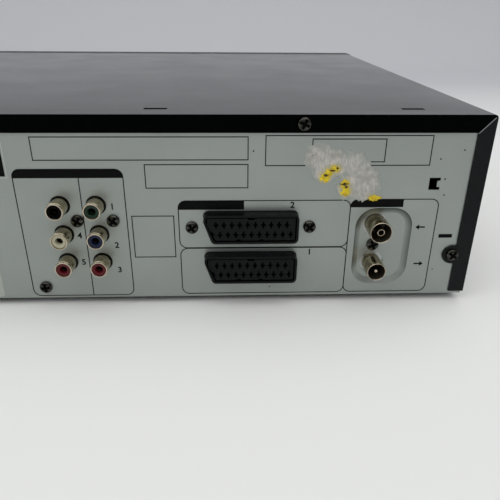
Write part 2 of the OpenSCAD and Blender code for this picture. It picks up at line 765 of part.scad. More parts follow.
module power_board() {
    color([0.62, 0.5, 0.3]) cuboid([edge_disc - 118, edge_disc - 8],
        [y_rear - 133, y_panel - 16], [board_z, board_top]);
    color([0.75, 0.76, 0.77]) for (i = [0:5])
        cuboid([edge_disc - 112 + 4 * i, edge_disc - 110.4 + 4 * i],
            [y_rear - 96, y_rear - 56], [board_top, board_top + 32]);
    color([0.75, 0.76, 0.77]) cuboid([edge_disc - 112, edge_disc - 90.4],
        [y_rear - 77, y_rear - 75], [board_top, board_top + 32]);
    color([0.1, 0.1, 0.12]) {
        post([edge_disc - 28, y_rear - 52], 9, board_top, board_top + 30);
        for (i = [0:3]) post([edge_disc - 104 + 13 * i, y_rear - 120], 5, board_top,
            board_top + 18);
        cuboid([edge_disc - 84, edge_disc - 76], [y_rear - 40, y_rear - 22],
            [board_top, board_top + 14]);
    }
}
module transformer() {
    x = edge_disc - 56;
    y = y_rear - 92;
    color([0.2, 0.2, 0.22]) difference() {
        cuboid([x - 17, x + 17], [y - 16, y + 16], [board_top + 4, board_top + 32]);
        for (s = sides) cuboid([x + s * 8.5 - 4.4, x + s * 8.5 + 4.4],
            [y - 20, y + 20], [board_top + 9, board_top + 27]);
    }
    color([0.75, 0.6, 0.2]) for (s = sides) cuboid([x + s * 8.5 - 4.3, x + s * 8.5 + 4.3],
        [y - 19, y + 19], [board_top + 9.1, board_top + 26.9]);
    color([0.1, 0.1, 0.1]) cuboid([x - 15, x + 15], [y - 15, y + 15],
        [board_top, board_top + 4]);
}

// Front panel

key_colour = [0.6, 0.6, 0.62];
key_w = 17;
key_h = 9;
small_keys = [for (i = [0:5]) edge_tape + 44 + 22 * i];
power_c = [edge_tape + 21, key_row_z];
rocker_c = [slot_x + 83, key_row_z];
tray_key_c = [loader_x + tray_w / 2 + 26, door_z + door_h / 2];
jack_x = [for (i = [0:2]) rocker_c[0] + 20 + 15 * i];
jack_z = key_row_z;
jack_edge = jack_x[2] + 11;
rocker_w = 13;
rocker_h = 17;

// Front panel section in [y, z], from its face back to the seam
module front_section(inset) {
    y0 = y_front + inset;
    y1 = y_strip + inset;
    y2 = y_seam + 1 + inset;
    step = strip_top - inset * 0.4;
    polygon(rounded([[y2, z_base + inset], [y1, z_base + inset], [y1, step], [y0, step + 3],
        [y0, z_top - inset], [y2, z_top - inset]], [0, 2.5 - inset / 2, 1, 1, 2.8 - inset / 2, 0],
        4));
}
module key_hole(c, w, h, y0 = y_front - 1) {
    upright(y0, y_strip + front_wall + 1) translate(c)
        polygon(oblong(w + 2 * key_gap, h + 2 * key_gap, 1.2));
}
module flap_ear(side) {
    x = slot_x + side * (slot_w / 2 + flap_gap + 1.6);
    y0 = y_front + front_wall - 0.1;
    sideways(x - 1.6, x + 1.6) difference() {
        polygon([[y0, flap_pin_z - 6], [flap_pin_y + 3, flap_pin_z - 3.4],
            [flap_pin_y + 3, flap_pin_z + 3], [y0, flap_pin_z + 4]]);
        translate([flap_pin_y, flap_pin_z]) circle(r = flap_pin_r + 0.06);
    }
}
module front_panel() color([0.12, 0.12, 0.13]) {
    half = body_w / 2;
    difference() {
        union() {
            sideways(-half, half) front_section(0);
            // lip that slides inside the steel cover
            sideways(-half + sheet_t + fit_gap, half - sheet_t - fit_gap)
                polygon([[y_seam - 1, z_base + 1.2], [y_seam + 0.6, z_base + 1.2],
                    [y_seam + 0.6, z_top - sheet_t - fit_gap],
                    [y_seam - 1, z_top - sheet_t - fit_gap]]);
        }
        sideways(-half + front_wall, half - front_wall) front_section(front_wall);
        // the panel ends at the seam, apart from its lip
        difference() {
            cuboid([-half - 1, half + 1], [y_seam, y_seam + 20], [0, z_top + 1]);
            cuboid([-half + sheet_t + fit_gap, half - sheet_t - fit_gap],
                [y_seam - 1, y_seam + 0.7], [z_base + 1.2, z_top - sheet_t - fit_gap]);
        }
        // cassette slot, tray slot and display window
        upright(y_front - 1, y_front + 12) {
            translate([slot_x, slot_z + slot_h / 2]) square([slot_w, slot_h], center = true);
            translate([loader_x, door_z + door_h / 2])
                polygon(oblong(door_w + 2 * flap_gap, door_h + 2 * flap_gap, 1.5));
            translate([loader_x, window_z + window_h / 2])
                polygon(oblong(window_w, window_h, 2));
        }
        // keys and sockets of the strip
        for (x = small_keys) key_hole([x, key_row_z], key_w, key_h);
        key_hole(power_c, 13, 13);
        key_hole(rocker_c, rocker_w, rocker_h);
        key_hole(tray_key_c, 14, 7);
        for (x = jack_x) tube_y(x, jack_z, phono_dia / 2 + 0.7, y_front - 1, y_front + 12);
    }
    for (side = sides) flap_ear(side);
    rocker_ears();
    // bosses that the front board is fixed to
    for (x = [edge_tape + 20, slot_x, jack_x[0] - 20])
        tube_y(x, strip_top + 9, 3, y_front + front_wall - eps, key_board_y);
    for (x = [jack_edge + 23, loader_x + 50, edge_disc - 14])
        tube_y(x, key_row_z, 3, y_strip + front_wall - eps, key_board_y);
}
module rocker_ears() {
    y0 = y_strip + front_wall - 0.1;
    for (s = sides) {
        x = rocker_c[0] + s * (rocker_w / 2 + 1.9);
        sideways(x - 1, x + 1) difference() {
            polygon([[y0, rocker_c[1] - 3], [y0 + 5, rocker_c[1] - 2.5],
                [y0 + 5, rocker_c[1] + 2.5], [y0, rocker_c[1] + 3]]);
            translate([y0 + 2.7, rocker_c[1]]) circle(r = 1.06);
        }
    }
}
module display_window() color([0.03, 0.03, 0.05, 0.6]) {
    translate([loader_x, 0, window_z + window_h / 2]) {
        upright(y_front + 0.2, y_front + front_wall)
            polygon(oblong(window_w - 0.4, window_h - 0.4, 1.8));
        upright(y_front + front_wall, y_front + front_wall + 1)
            polygon(oblong(window_w + 5, window_h + 3, 2));
    }
}
// The flap hangs from pins at its upper corners and swings in over the cassette. Its
// upper edge is rounded about the pins, so that it clears the slot as it turns
module cassette_flap() color([0.1, 0.1, 0.11]) {
    w = slot_w - 2 * flap_gap;
    low = slot_z + flap_gap;
    y0 = y_front + flap_set;
    translate([slot_x, 0, 0]) {
        sideways(-w / 2, w / 2) {
            polygon(rounded([[y0, low], [y0, flap_pin_z], [y0 + flap_t, flap_pin_z],
                [y0 + flap_t, low]], [0.6, 0, 0, 0.2], 3));
            translate([flap_pin_y, flap_pin_z]) intersection() {
                difference() {
                    circle(r = flap_round);
                    circle(r = flap_round - flap_t);
                }
                translate([-flap_round, -eps]) square(flap_round);
            }
        }
        // cheeks that carry the pins
        for (s = sides) {
            x = s * (w / 2 - 1.2);
            sideways(x - 1.2, x + 1.2) {
                translate([flap_pin_y, flap_pin_z]) circle(r = flap_round - 0.3);
                polygon([[y0 + 1, flap_pin_z], [y0 + 1, flap_pin_z - 14],
                    [flap_pin_y + 2, flap_pin_z - 3.4]]);
            }
            tube_x(flap_pin_y, flap_pin_z, flap_pin_r, s > 0 ? w / 2 - 1 : -w / 2 - 3.4,
                s > 0 ? w / 2 + 3.4 : -w / 2 + 1);
        }
        for (z = [low + 5, low + 12]) cuboid([-w / 2 + 8, w / 2 - 8],
            [y0 + flap_t - 0.1, y0 + flap_t + 1], [z, z + 1.2]);
    }
}
// A push key: cap through the panel, retaining flange behind it and a stem to its switch
module push_key(c, w, h, face, wall_back) {
    switch_tip = key_board_y - switch_h - 1;
    translate([c[0], 0, c[1]]) {
        upright(face, wall_back + fit_gap) polygon(oblong(w, h, 1));
        upright(wall_back + fit_gap - eps, wall_back + fit_gap + 1.2)
            polygon(oblong(w + 3, h + 3, 1));
        upright(wall_back + fit_gap + 1.1, switch_tip - key_travel - 0.25)
            square([4, 4], center = true);
    }
}
module strip_key(c, w, h) {
    push_key(c, w, h, y_strip - key_proud, y_strip + front_wall);
}
module power_button() color(key_colour) strip_key(power_c, 13, 13);
module tape_key(i) color(key_colour) strip_key([small_keys[i], key_row_z], key_w, key_h);
module eject_button() tape_key(0);
module rewind_button() tape_key(1);
module play_button() tape_key(2);
module forward_button() tape_key(3);
module stop_button() tape_key(4);
module record_button() tape_key(5);
module tray_button() color(key_colour)
    push_key(tray_key_c, 14, 7, y_front + 0.2, y_front + front_wall);
// The rocker turns on short pins and presses a switch above or below them
module channel_rocker() color(key_colour) {
    y0 = y_strip + front_wall - 0.1;
    pin_y = y0 + 2.7;
    translate([rocker_c[0], 0, rocker_c[1]]) {
        sideways(-rocker_w / 2, rocker_w / 2) polygon(rounded([
            [y_strip - 0.3, -rocker_h / 2 + 0.4], [y_strip + 0.1, 0],
            [y_strip - 0.3, rocker_h / 2 - 0.4], [pin_y + 1.4, rocker_h / 2 - 1.2],
            [pin_y + 1.4, -rocker_h / 2 + 1.2]], [0.4, 0, 0.4, 0.5, 0.5], 3));
        tube_x(pin_y, 0, 1, -rocker_w / 2 - 2.8, rocker_w / 2 + 2.8);
    }
}
module tact_switch(x, z, tip) {
    upright(key_board_y - switch_h, key_board_y)
        translate([x, z]) square([6, 6], center = true);
    tube_y(x, z, switch_r, tip, key_board_y - switch_h + eps);
}
module front_board() {
    color([0.08, 0.3, 0.16]) upright(key_board_y, key_board_y + board_t) difference() {
        polygon([[edge_tape + 8, z_base + 4], [jack_x[0] - 10, z_base + 4],
            [jack_x[0] - 10, strip_top + 4], [jack_edge, strip_top + 4],
            [jack_edge, z_base + 6], [edge_disc - 6, z_base + 6],
            [edge_disc - 6, door_z + door_h + 3], [tray_key_c[0] - 9, door_z + door_h + 3],
            [tray_key_c[0] - 9, window_z + window_h + 4],
            [jack_edge, window_z + window_h + 4],
            [jack_edge, strip_top + 14], [edge_tape + 8, strip_top + 14]]);
    }
    tip = key_board_y - switch_h - 1;
    color([0.1, 0.1, 0.1]) {
        for (x = small_keys) tact_switch(x, key_row_z, tip);
        tact_switch(power_c[0], power_c[1], tip);
        tact_switch(tray_key_c[0], tray_key_c[1], tip);
        for (s = sides) tact_switch(rocker_c[0], rocker_c[1] + s * 5, tip);
    }
}
module display_tube() color([0.2, 0.3, 0.3, 0.8]) {
    translate([loader_x, 0, window_z + window_h / 2]) {
        difference() {
            upright(y_front + front_wall + 2.6, key_board_y - 1.6)
                polygon(oblong(window_w - 20, window_h - 2, 0.8));
            cuboid([-window_w / 2 + 13, window_w / 2 - 13],
                [y_front + front_wall + 2, y_front + front_wall + 3.2],
                [-window_h / 2 + 4, window_h / 2 - 4]);
        }
        for (s = sides) cuboid([s * (window_w / 2 - 16) - 3, s * (window_w / 2 - 16) + 3],
            [key_board_y - 1.6, key_board_y], [-3, 3]);
    }
}
module front_jacks() {
    back = y_strip + front_wall;
    color([0.07, 0.07, 0.08]) difference() {
        union() {
            cuboid([jack_x[0] - 8, jack_x[2] + 8], [back, back + 12], [z_base + 5, jack_z + 8]);
            for (x = jack_x) tube_y(x, jack_z, phono_dia / 2 + 0.4, back - front_wall - 0.3, back);
        }
        for (x = jack_x) tube_y(x, jack_z, phono_dia / 2 - 0.4, back - 5, back + 7);
    }
    color([0.7, 0.7, 0.68]) for (x = jack_x) mirror([0, 1, 0])
        phono_shell(x, jack_z, -back - 6.9, 0.3 - y_strip, -y_front - 0.5);
    for (i = [0:2]) color(["gold", "ivory", "darkred"][i])
        translate([jack_x[i], back + 7, jack_z]) rotate([90, 0, 0]) difference() {
            cylinder(r = phono_dia / 2 - 0.8, h = strip_back + front_wall + 6.2);
            up(3) cylinder(r = 1.65, h = 20);
        }
}

// Disc loader

module loader_frame() color([0.13, 0.13, 0.14]) {
    side_t = 2.5;
    inner = rail_x + 0.5;
    outer = inner + side_t;
    rail_top = tray_z - fit_gap;
    rail_over = tray_z + 3 + fit_gap;
    translate([loader_x, 0, 0]) {
        difference() {
            union() {
                cuboid([-outer, outer], [loader_y0, loader_y1],
                    [loader_z, loader_z + loader_floor_t]);
                for (s = sides) cuboid(span(s, inner, outer),
                    [loader_y0, loader_y1], [loader_z, bridge_z]);
                cuboid([-outer, outer], [loader_y1 - side_t, loader_y1],
                    [loader_z, tray_z - 7]);
            }
            // window that the traverse swings in
            cuboid([-50, 50], [disc_y - 26, pivot_y + 8],
                [loader_z - 1, loader_z + loader_floor_t + 1]);
            for (s = sides, i = [0:2]) cuboid([s * outer - 5, s * outer + 5],
                [loader_y0 + 30 + 42 * i, loader_y0 + 54 + 42 * i],
                [loader_z + 6, tray_z - 8]);
            post([motor_x, pinion_y], 1.6, loader_z - 1, loader_z + 10);
        }
        // ledges under the tray edges and tabs over them
        for (s = sides) {
            cuboid(span(s, inner - 3.4, inner + eps),
                [loader_y0, loader_y1 - 12], [rail_top - 3, rail_top]);
            for (y = [loader_y0, loader_y0 + 60, loader_y0 + 120])
                cuboid(span(s, inner - 2.4, inner + eps),
                    [y, y + 10], [rail_over, rail_over + 2]);
        }
        // pivot ears of the traverse, inside the side walls
        for (s = sides) difference() {
            cuboid(span(s, 50, 53), [pivot_y - 6, pivot_y + 6],
                [loader_z, pivot_z + 5]);
            tube_x(pivot_y, pivot_z, 2.1, -60, 60);
        }
        // axle of the tray gear
        post([pinion_x, pinion_y], 1.5, loader_z, tray_z - 0.8);
        // stand on the chassis
        for (x = [-1, 1], y = [loader_y0 + 18, loader_y1 - 6])
            post([x * (outer - 5), y], 4, z_floor, loader_z + eps);
    }
}
// Rack teeth under the tray, in the tray's own plane
function rack_tooth(y) = let (m = gear_module)
    [[-1.2 * m, y - 1.03 * m], [0.85 * m, y - 0.3 * m], [0.85 * m, y + 0.3 * m],
        [-1.2 * m, y + 1.03 * m]];
module rack_2d() {
    pitch = PI * gear_module;
    y0 = pinion_y - pitch;
    count = floor((tray_y + tray_len - 1.6 - y0) / pitch);
    polygon(concat([[-3.4, y0 - 1.5]], [[-1.2 * gear_module, y0 - 1.5]],
        [for (i = [0:count]) each rack_tooth(y0 + i * pitch)],
        [[-1.2 * gear_module, y0 + count * pitch + 1.5], [-3.4, y0 + count * pitch + 1.5]]));
}
module disc_tray() color([0.11, 0.11, 0.12]) {
    rail_t = 3;
    y1 = tray_y + tray_len;
    translate([loader_x, 0, 0]) {
        difference() {
            union() {
                cuboid([-rail_x, rail_x], [tray_y, y1], [tray_z, tray_z + rail_t]);
                up(tray_z + 1) linear_extrude(5) translate([0, tray_y + tray_len / 2])
                    polygon(oblong(tray_w - 5.2, tray_len - 1, 3));
            }
            // wells for the two sizes of disc
            post([0, disc_y], well_dia / 2, tray_z + rail_t, tray_z + 9);
            post([0, disc_y], small_well / 2, tray_z + 1.8, tray_z + 9);
            // window for the turntable and the laser
            linear_extrude(200) slot_2d([0, disc_y], [0, disc_y + 52], 20);
            // finger notches at the sides and a lowered rear
            cuboid([-rail_x - 1, rail_x + 1], [disc_y - 14, disc_y + 14],
                [tray_z + rail_t, tray_z + 9]);
            cuboid([-40, 40], [y1 - 24, y1 + 1], [tray_z + rail_t, tray_z + 9]);
        }
        // rack under the rail
        translate([rack_x, 0, tray_z - rack_h]) linear_extrude(rack_h + eps) rack_2d();
    }
}
module tray_door() color([0.1, 0.1, 0.11]) {
    translate([loader_x, 0, door_z + door_h / 2]) {
        upright(y_front + 0.2, tray_y) polygon(oblong(door_w, door_h, 1.2));
        for (s = sides) cuboid([s * 40 - 6, s * 40 + 6], [tray_y, tray_y + 5],
            [tray_z - 2.4 - door_z - door_h / 2, tray_z - door_z - door_h / 2]);
    }
}
module tray_motor() color([0.7, 0.7, 0.7]) {
    translate([loader_x + motor_x, pinion_y, 0]) {
        difference() {
            up(loader_z - 16) cylinder(r = 10.5, h = 16);
            for (s = sides) cuboid([s * 12 - 4, s * 12 + 4], [-12, 12],
                [loader_z - 17, loader_z + 1]);
        }
        up(loader_z - eps) cylinder(r = 1, h = belt_z - loader_z + 2.6);
    }
}
module grooved_pulley(r, bore) {
    rotate_extrude() polygon([[bore, -0.4], [r + 0.6, -0.4], [r + 0.6, 0],
        [r - belt_t / 2 - 0.1, 0.9], [r - belt_t / 2 - 0.1, belt_t + 1.1], [r + 0.6, belt_t + 2],
        [r + 0.6, belt_t + 2.4], [bore, belt_t + 2.4]]);
}
module motor_pulley() color([0.85, 0.84, 0.8]) {
    translate([loader_x + motor_x, pinion_y, belt_z - 1]) grooved_pulley(motor_pulley_r, 1.05);
}
module tray_gear() color([0.85, 0.84, 0.8]) {
    pinion_z = tray_z - rack_h;
    translate([loader_x + pinion_x, pinion_y, 0]) {
        up(belt_z - 1) grooved_pulley(pulley_r, 1.56);
        difference() {
            union() {
                up(belt_z + belt_t + 1.3) cylinder(r = 4, h = pinion_z - belt_z - 1);
                up(pinion_z) rotate([0, 0, 180 / pinion_teeth + 180])
                    linear_extrude(rack_h - 0.6) gear_2d(pinion_teeth, gear_module);
            }
            up(belt_z) cylinder(r = 1.56, h = 30);
        }
    }
}
// The belt runs round both pulleys: two arcs and their outer tangents
module belt_2d(grow) {
    d = motor_x - pinion_x;
    big = pulley_r + grow;
    small = motor_pulley_r + grow;
    lean = asin((big - small) / d);
    circle(r = big);
    translate([d, 0]) circle(r = small);
    polygon([for (s = [1, -1]) each let (n = [sin(lean), s * cos(lean)])
        s > 0 ? [n * big, [d, 0] + n * small] : [[d, 0] + n * small, n * big]]);
}
module tray_belt() color([0.05, 0.05, 0.05]) {
    translate([loader_x + pinion_x, pinion_y, belt_z]) linear_extrude(belt_t) difference() {
        belt_2d(belt_t / 2 + 0.15);
        belt_2d(-belt_t / 2 + 0.15);
    }
}
module clamp_bridge() color([0.72, 0.73, 0.72]) {
    outer = rail_x + 3;
    translate([loader_x, 0, 0]) difference() {
        union() {
            cuboid([-outer, outer], [disc_y - 22, disc_y + 22], [bridge_z, bridge_z + bridge_t]);
            for (s = sides) cuboid(span(s, outer, outer + 1.2),
                [disc_y - 22, disc_y + 22], [bridge_z - 8, bridge_z + bridge_t]);
        }
        post([0, disc_y], 10, bridge_z - 1, bridge_z + 5);
        for (s = sides) post([s * 40, disc_y], 9, bridge_z - 1, bridge_z + 5);
    }
}
module disc_clamp() color([0.1, 0.1, 0.1]) {
    translate([loader_x, disc_y, 0]) rotate_extrude() polygon([
        [0, clamp_z], [14, clamp_z], [14, clamp_z + 1.8], [9, clamp_z + 2.4],
        [9, bridge_z + bridge_t + fit_gap], [12.5, bridge_z + bridge_t + fit_gap],
        [12.5, bridge_z + bridge_t + 1.8], [0, bridge_z + bridge_t + 1.8]]);
}
// The traverse and what it carries are drawn level, then dropped about their hinge
module at_traverse() {
    translate([loader_x, pivot_y, pivot_z]) rotate([traverse_tilt, 0, 0])
        translate([0, -pivot_y, -pivot_z]) children();
}
traverse_half = 40;
module traverse() {
    top = pivot_z + 4;
    at_traverse() {
        color([0.3, 0.31, 0.32]) difference() {
            union() {
                cuboid([-traverse_half, traverse_half], [disc_y - 20, pivot_y + 3],
                    [pivot_z + 2, top]);
                tube_x(pivot_y, pivot_z, 3.6, -traverse_half, traverse_half);
                tube_x(pivot_y, pivot_z, 2, -54.5, 54.5);
                for (s = sides, y = [disc_y - 16, pivot_y - 12]) cuboid(
                    [s * rod_x - 4, s * rod_x + 4], [y - 3, y + 3], [rod_z - 4, pivot_z + 3]);
            }
            // window that the laser sled runs in
            cuboid([-traverse_half + 8, traverse_half - 8], [disc_y - 12, sled_y1],
                [pivot_z + 1, top + 1]);
            for (s = sides) tube_y(s * rod_x, rod_z, rod_r + 0.02, disc_y - 40, pivot_y - 9.5);
        }
        color([0.8, 0.8, 0.8]) for (s = sides)
            tube_y(s * rod_x, rod_z, rod_r, disc_y - 19, pivot_y - 9.5);
        // spindle motor under the turntable, on an arm of the plate
        color([0.6, 0.6, 0.6]) {
            cuboid([-traverse_half + 7, traverse_half - 7], [disc_y - 12.5, disc_y + 3],
                [pivot_z + 2.4, top - 0.4]);
            post([0, disc_y], 11, top - 0.4 - eps, top + 2.4);
        }
    }
}
module turntable() color([0.15, 0.15, 0.16]) {
    base = pivot_z + 6.4 + fit_gap;
    at_traverse() translate([0, disc_y, 0]) rotate_extrude() polygon([
        [0, base], [10, base], [10, play_z - 1.6], [15, play_z - 1], [15, play_z],
        [7.2, play_z], [7, play_z + 1.2], [5, play_z + 2.3], [0, play_z + 2.3]]);
}
module pickup_sled() {
    y0 = sled_y;
    y1 = y0 + sled_len;
    at_traverse() {
        color([0.35, 0.36, 0.38]) difference() {
            union() {
                cuboid([-rod_x - 4, rod_x + 4], [y0, y1], [rod_z - 3.6, rod_z + 2.4]);
                cuboid([-13, 13], [y0 + 1, y1 - 1], [rod_z + 2.4 - eps, pivot_z + 8]);
            }
            tube_y(-rod_x, rod_z, rod_r + 0.05, y0 - 1, y1 + 1);
            cuboid([rod_x - rod_r - 0.3, rod_x + 9], [y0 - 1, y1 + 1],
                [rod_z - rod_r - 0.2, rod_z + rod_r + 0.2]);
        }
        color([0.3, 0.35, 0.6]) translate([0, y0 + 9, 0]) rotate_extrude() polygon([
            [0, pivot_z + 8 - eps], [4.4, pivot_z + 8 - eps], [4.4, pivot_z + 9],
            [3, pivot_z + 9.6], [1, pivot_z + 9.9], [0, pivot_z + 9.9]]);
    }
}

// Tape deck

function on_deck(p) = [deck_x + p[0], p[1]];
function other(p) = [-p[0], p[1]];
module deck_plate() color([0.74, 0.75, 0.74]) {
    low = deck_z - deck_t;
    difference() {
        up(low) linear_extrude(deck_t) difference() {
            translate([deck_x, (deck_y0 + deck_y1) / 2])
                polygon(oblong(2 * deck_half, deck_y1 - deck_y0, 6));
            translate([deck_x, 0]) {
                slot_2d(guide_a, guide_b, 3.3);
                slot_2d(other(guide_a), other(guide_b), 3.3);
                translate([0, (holder_y + reel_y) / 2 - 12]) polygon(oblong(60, 24, 4));
                translate([0, reel_y - 2]) circle(r = 9);
                for (s = sides) translate([s * 70, holder_y + 10]) polygon(oblong(30, 22, 4));
                translate(capstan_at) circle(r = capstan_r + 0.05);
                translate(cam_pinion_at) circle(r = 3.2);
            }
        }
    }
    // fixed pins for the reels, the pinch arm and the cam gear
    for (s = sides) post(on_deck([s * reel_pitch / 2, reel_y]), 1.5, deck_z - eps, deck_z + 17);
    post(on_deck(pinch_pivot), 2, deck_z - eps, deck_z + 22);
    post(on_deck(cam_at), 2, deck_z - eps, deck_z + 8);
    // bearing of the capstan
    difference() {
        post(on_deck(capstan_at), 4.8, deck_z - eps, deck_z + 2.7);
        post(on_deck(capstan_at), capstan_r + 0.05, deck_z - 5, deck_z + 20);
    }
    // legs down to the chassis
    for (x = [-deck_half + 8, deck_half - 8], y = [deck_y0 + 10, deck_y1 - 10])
        post([deck_x + x, y], 4, z_floor, low + eps);
}
module cradle_bracket_2d() {
    y0 = holder_y - 4;
    y1 = holder_end + 6;
    difference() {
        polygon(rounded([[y0, deck_z], [y1, deck_z], [y1, holder_z + cassette_h + 4],
            [y1 - 40, holder_z + cassette_h + 4], [y1 - 46, holder_z + cassette_h - 2],
            [y0, holder_z + cassette_h - 2]], [0, 0, 4, 3, 3, 4], 4));
        for (y = holder_pins_y) {
            slot_2d([y, holder_pin_z], [y + holder_travel, holder_pin_z], holder_pin_r + 0.3);
            slot_2d([y + holder_travel, holder_pin_z],
                [y + holder_travel, holder_pin_z - lift_drop], holder_pin_r + 0.3);
        }
        for (i = [0:1]) translate([y0 + 34 + 58 * i, deck_z + 14])
            polygon(oblong(34, 13, 4));
    }
}
module cradle_brackets() color([0.78, 0.79, 0.78]) {
    difference() {
        union() {
            for (s = sides) {
                x = deck_x + s * (bracket_x + bracket_t / 2);
                sideways(x - bracket_t / 2, x + bracket_t / 2) cradle_bracket_2d();
                cuboid([s > 0 ? x : x - 3, s > 0 ? x + 3 : x],
                    [holder_y + 4, holder_end - 4], [deck_z, deck_z + 1.2]);
            }
            // cross brace over the holder
            cuboid([deck_x - bracket_x - bracket_t, deck_x + bracket_x + bracket_t],
                [holder_end - 14, holder_end - 2],
                [holder_z + cassette_h + 4 - eps, holder_z + cassette_h + 5.2]);
        }
        for (s = sides) cuboid([deck_x + s * 60 - 15, deck_x + s * 60 + 15],
            [holder_end - 11, holder_end - 5], [holder_z, holder_z + 60]);
    }
}
module cassette_holder() color([0.68, 0.69, 0.7]) {
    in_w = cassette_w / 2;
    out_w = in_w + holder_wall;
    top = holder_z + cassette_h;
    y1 = holder_y + holder_len;
    translate([deck_x, 0, 0]) {
        difference() {
            cuboid([-out_w, out_w], [holder_y, y1],
                [holder_z - holder_wall, top + holder_wall]);
            cuboid([-in_w, in_w], [holder_y - 1, y1 + 1], [holder_z, top]);
            // open floor between the side ledges, for the reels
            cuboid([-in_w + 16, in_w - 16], [holder_y - 1, y1 + 1],
                [holder_z - 5, holder_z + 1]);
            // lightening windows of the top plate
            for (s = sides) up(top - 1) linear_extrude(5)
                translate([s * 50, holder_y + 44]) polygon(oblong(60, 50, 8));
            up(top - 1) linear_extrude(5) translate([0, holder_y - 2])
                polygon(oblong(60, 34, 12));
        }
        for (s = sides, y = holder_pins_y) tube_x(y, holder_pin_z, holder_pin_r,
            s > 0 ? out_w - eps : -bracket_x - bracket_t - 1,
            s > 0 ? bracket_x + bracket_t + 1 : -out_w + eps);
    }
}
module at_drum() {
    translate([deck_x, drum_y, deck_z + drum_base_h]) rotate([-drum_lean, 0, 0]) children();
}
module drum_base() color([0.72, 0.72, 0.7]) {
    translate([deck_x, drum_y, deck_z]) difference() {
        union() {
            cylinder(r = drum_dia / 2 - 2, h = drum_base_h - 3);
            for (a = [90, 210, 330]) rotate([0, 0, a]) translate([0, -5, 0])
                cube([drum_dia / 2 + 4, 10, 3.5]);
        }
        for (a = [90, 210, 330]) rotate([0, 0, a]) translate([drum_dia / 2 + 1, 0, -1])
            cylinder(r = 1.6, h = 8);
    }
    at_drum() {
        up(-drum_base_h + 4.6) cylinder(r = drum_dia / 2 - 4,
            h = drum_base_h - 4.5);
        // lower drum with its tape ledge
        rotate_extrude() polygon([[0, 0], [drum_dia / 2 + 0.15, 0], [drum_dia / 2 + 0.15, 3],
            [drum_dia / 2, 3.2], [drum_dia / 2, drum_low_h], [0, drum_low_h]]);
        cylinder(r = 3, h = drum_low_h + drum_up_h + 5);
    }
}
module head_drum() color([0.85, 0.85, 0.84]) {
    at_drum() up(drum_low_h + drum_split) difference() {
        union() {
            rotate_extrude() polygon([[3.06, 0], [drum_dia / 2, 0],
                [drum_dia / 2, drum_up_h - 0.8], [drum_dia / 2 - 0.8, drum_up_h],
                [14, drum_up_h], [13, drum_up_h + 2], [3.06, drum_up_h + 2]]);
        }
        for (a = [0:90:270]) rotate([0, 0, a + 45]) translate([21, 0, drum_up_h - 3])
            cylinder(r = 4, h = 5);
        for (a = [0, 180]) rotate([0, 0, a]) translate([drum_dia / 2 - 1.2, -2, -1])
            cube([3, 4, 2.6]);
    }
}
module capstan() color([0.75, 0.75, 0.74]) {
    flywheel_z = z_floor + 6;
    translate([deck_x + capstan_at[0], capstan_at[1], 0]) {
        up(flywheel_z) cylinder(r = capstan_r, h = deck_z + 30 - flywheel_z);
        up(flywheel_z) difference() {
            cylinder(r = 24, h = 7);
            up(-1) cylinder(r = 19, h = 4);
        }
        up(flywheel_z) cylinder(r = 6, h = deck_z - deck_t - 1 - flywheel_z);
    }
}
module at_pinch() {
    translate([deck_x + pinch_pivot[0], pinch_pivot[1], 0]) rotate([0, 0, pinch_rest]) children();
}
module pinch_arm() color([0.7, 0.7, 0.68]) {
    at_pinch() difference() {
        union() {
            for (z = [deck_z + 3, deck_z + 21.4]) up(z) linear_extrude(1.4)
                slot_2d([0, 0], [pinch_arm_len, 0], z < deck_z + 10 ? 4.2 : 3.6);
            up(deck_z + 3) cylinder(r = 4.2, h = 19.8);
            translate([pinch_arm_len, 0, deck_z + 4]) cylinder(r = 1, h = 18);
        }
        up(deck_z - 5) cylinder(r = 2.06, h = 27.2);
    }
}
module pinch_roller() color([0.06, 0.06, 0.06]) {
    at_pinch() translate([pinch_arm_len, 0, deck_z + 4.7]) difference() {
        cylinder(r = pinch_r, h = 16.4);
        up(-1) cylinder(r = 1.06, h = 20);
        for (z = [-0.01, 15.4]) up(z) difference() {
            cylinder(r = pinch_r - 2, h = 1.1);
            up(-1) cylinder(r = 2.4, h = 4);
        }
    }
}
module reel_table() {
    z = deck_z + 1;
    difference() {
        union() {
            up(z) linear_extrude(3.2) gear_2d(round(reel_dia), 1);
            up(z + 3.2 - eps) cylinder(r = reel_dia / 2 - 8, h = 2);
            rotate_extrude() polygon([[0, z + 5], [9, z + 5], [9, z + 12], [6, z + 19.5],
                [0, z + 19.5]]);
            for (a = [0:120:240]) rotate([0, 0, a]) translate([6, -1, z + 5])
                cube([6.6, 2, 9]);
        }
        up(z - 1) cylinder(r = 1.56, h = 17.4);
    }
}
module supply_reel() color([0.88, 0.87, 0.84])
    translate([deck_x - reel_pitch / 2, reel_y, 0]) reel_table();
module takeup_reel() color([0.88, 0.87, 0.84])
    translate([deck_x + reel_pitch / 2, reel_y, 0]) reel_table();
// A loading carriage: foot under the plate, block on it, roller and slant post
module guide_carriage(side) {
    a = [side * guide_a[0], guide_a[1]];
    z = deck_z + fit_gap;
    translate([deck_x + a[0], a[1], 0]) {
        up(z) linear_extrude(4) polygon(oblong(13, 11, 3));
        up(deck_z - deck_t - 1.5) cylinder(r = 2.9, h = deck_t + 2);
        up(deck_z - deck_t - fit_gap - 1.6) cylinder(r = 5, h = 1.6);
        translate([0, 2, z + 3]) cylinder(r = 1, h = 22.4);
        translate([0, 2, z + 5]) cylinder(r = 3, h = 17);
        translate([0, 2, z + 23]) cylinder(r = 2.4, h = 2.4);
        translate([side * 3.4, -2.6, z + 3]) rotate([0, -side * 6, 0])
            cylinder(r = 1.1, h = 20);
    }
}
module supply_guide() color([0.8, 0.78, 0.7]) guide_carriage(-1);
module takeup_guide() color([0.8, 0.78, 0.7]) guide_carriage(1);
erase_at = [-68, drum_y - 16];
control_at = [62, drum_y - 10];
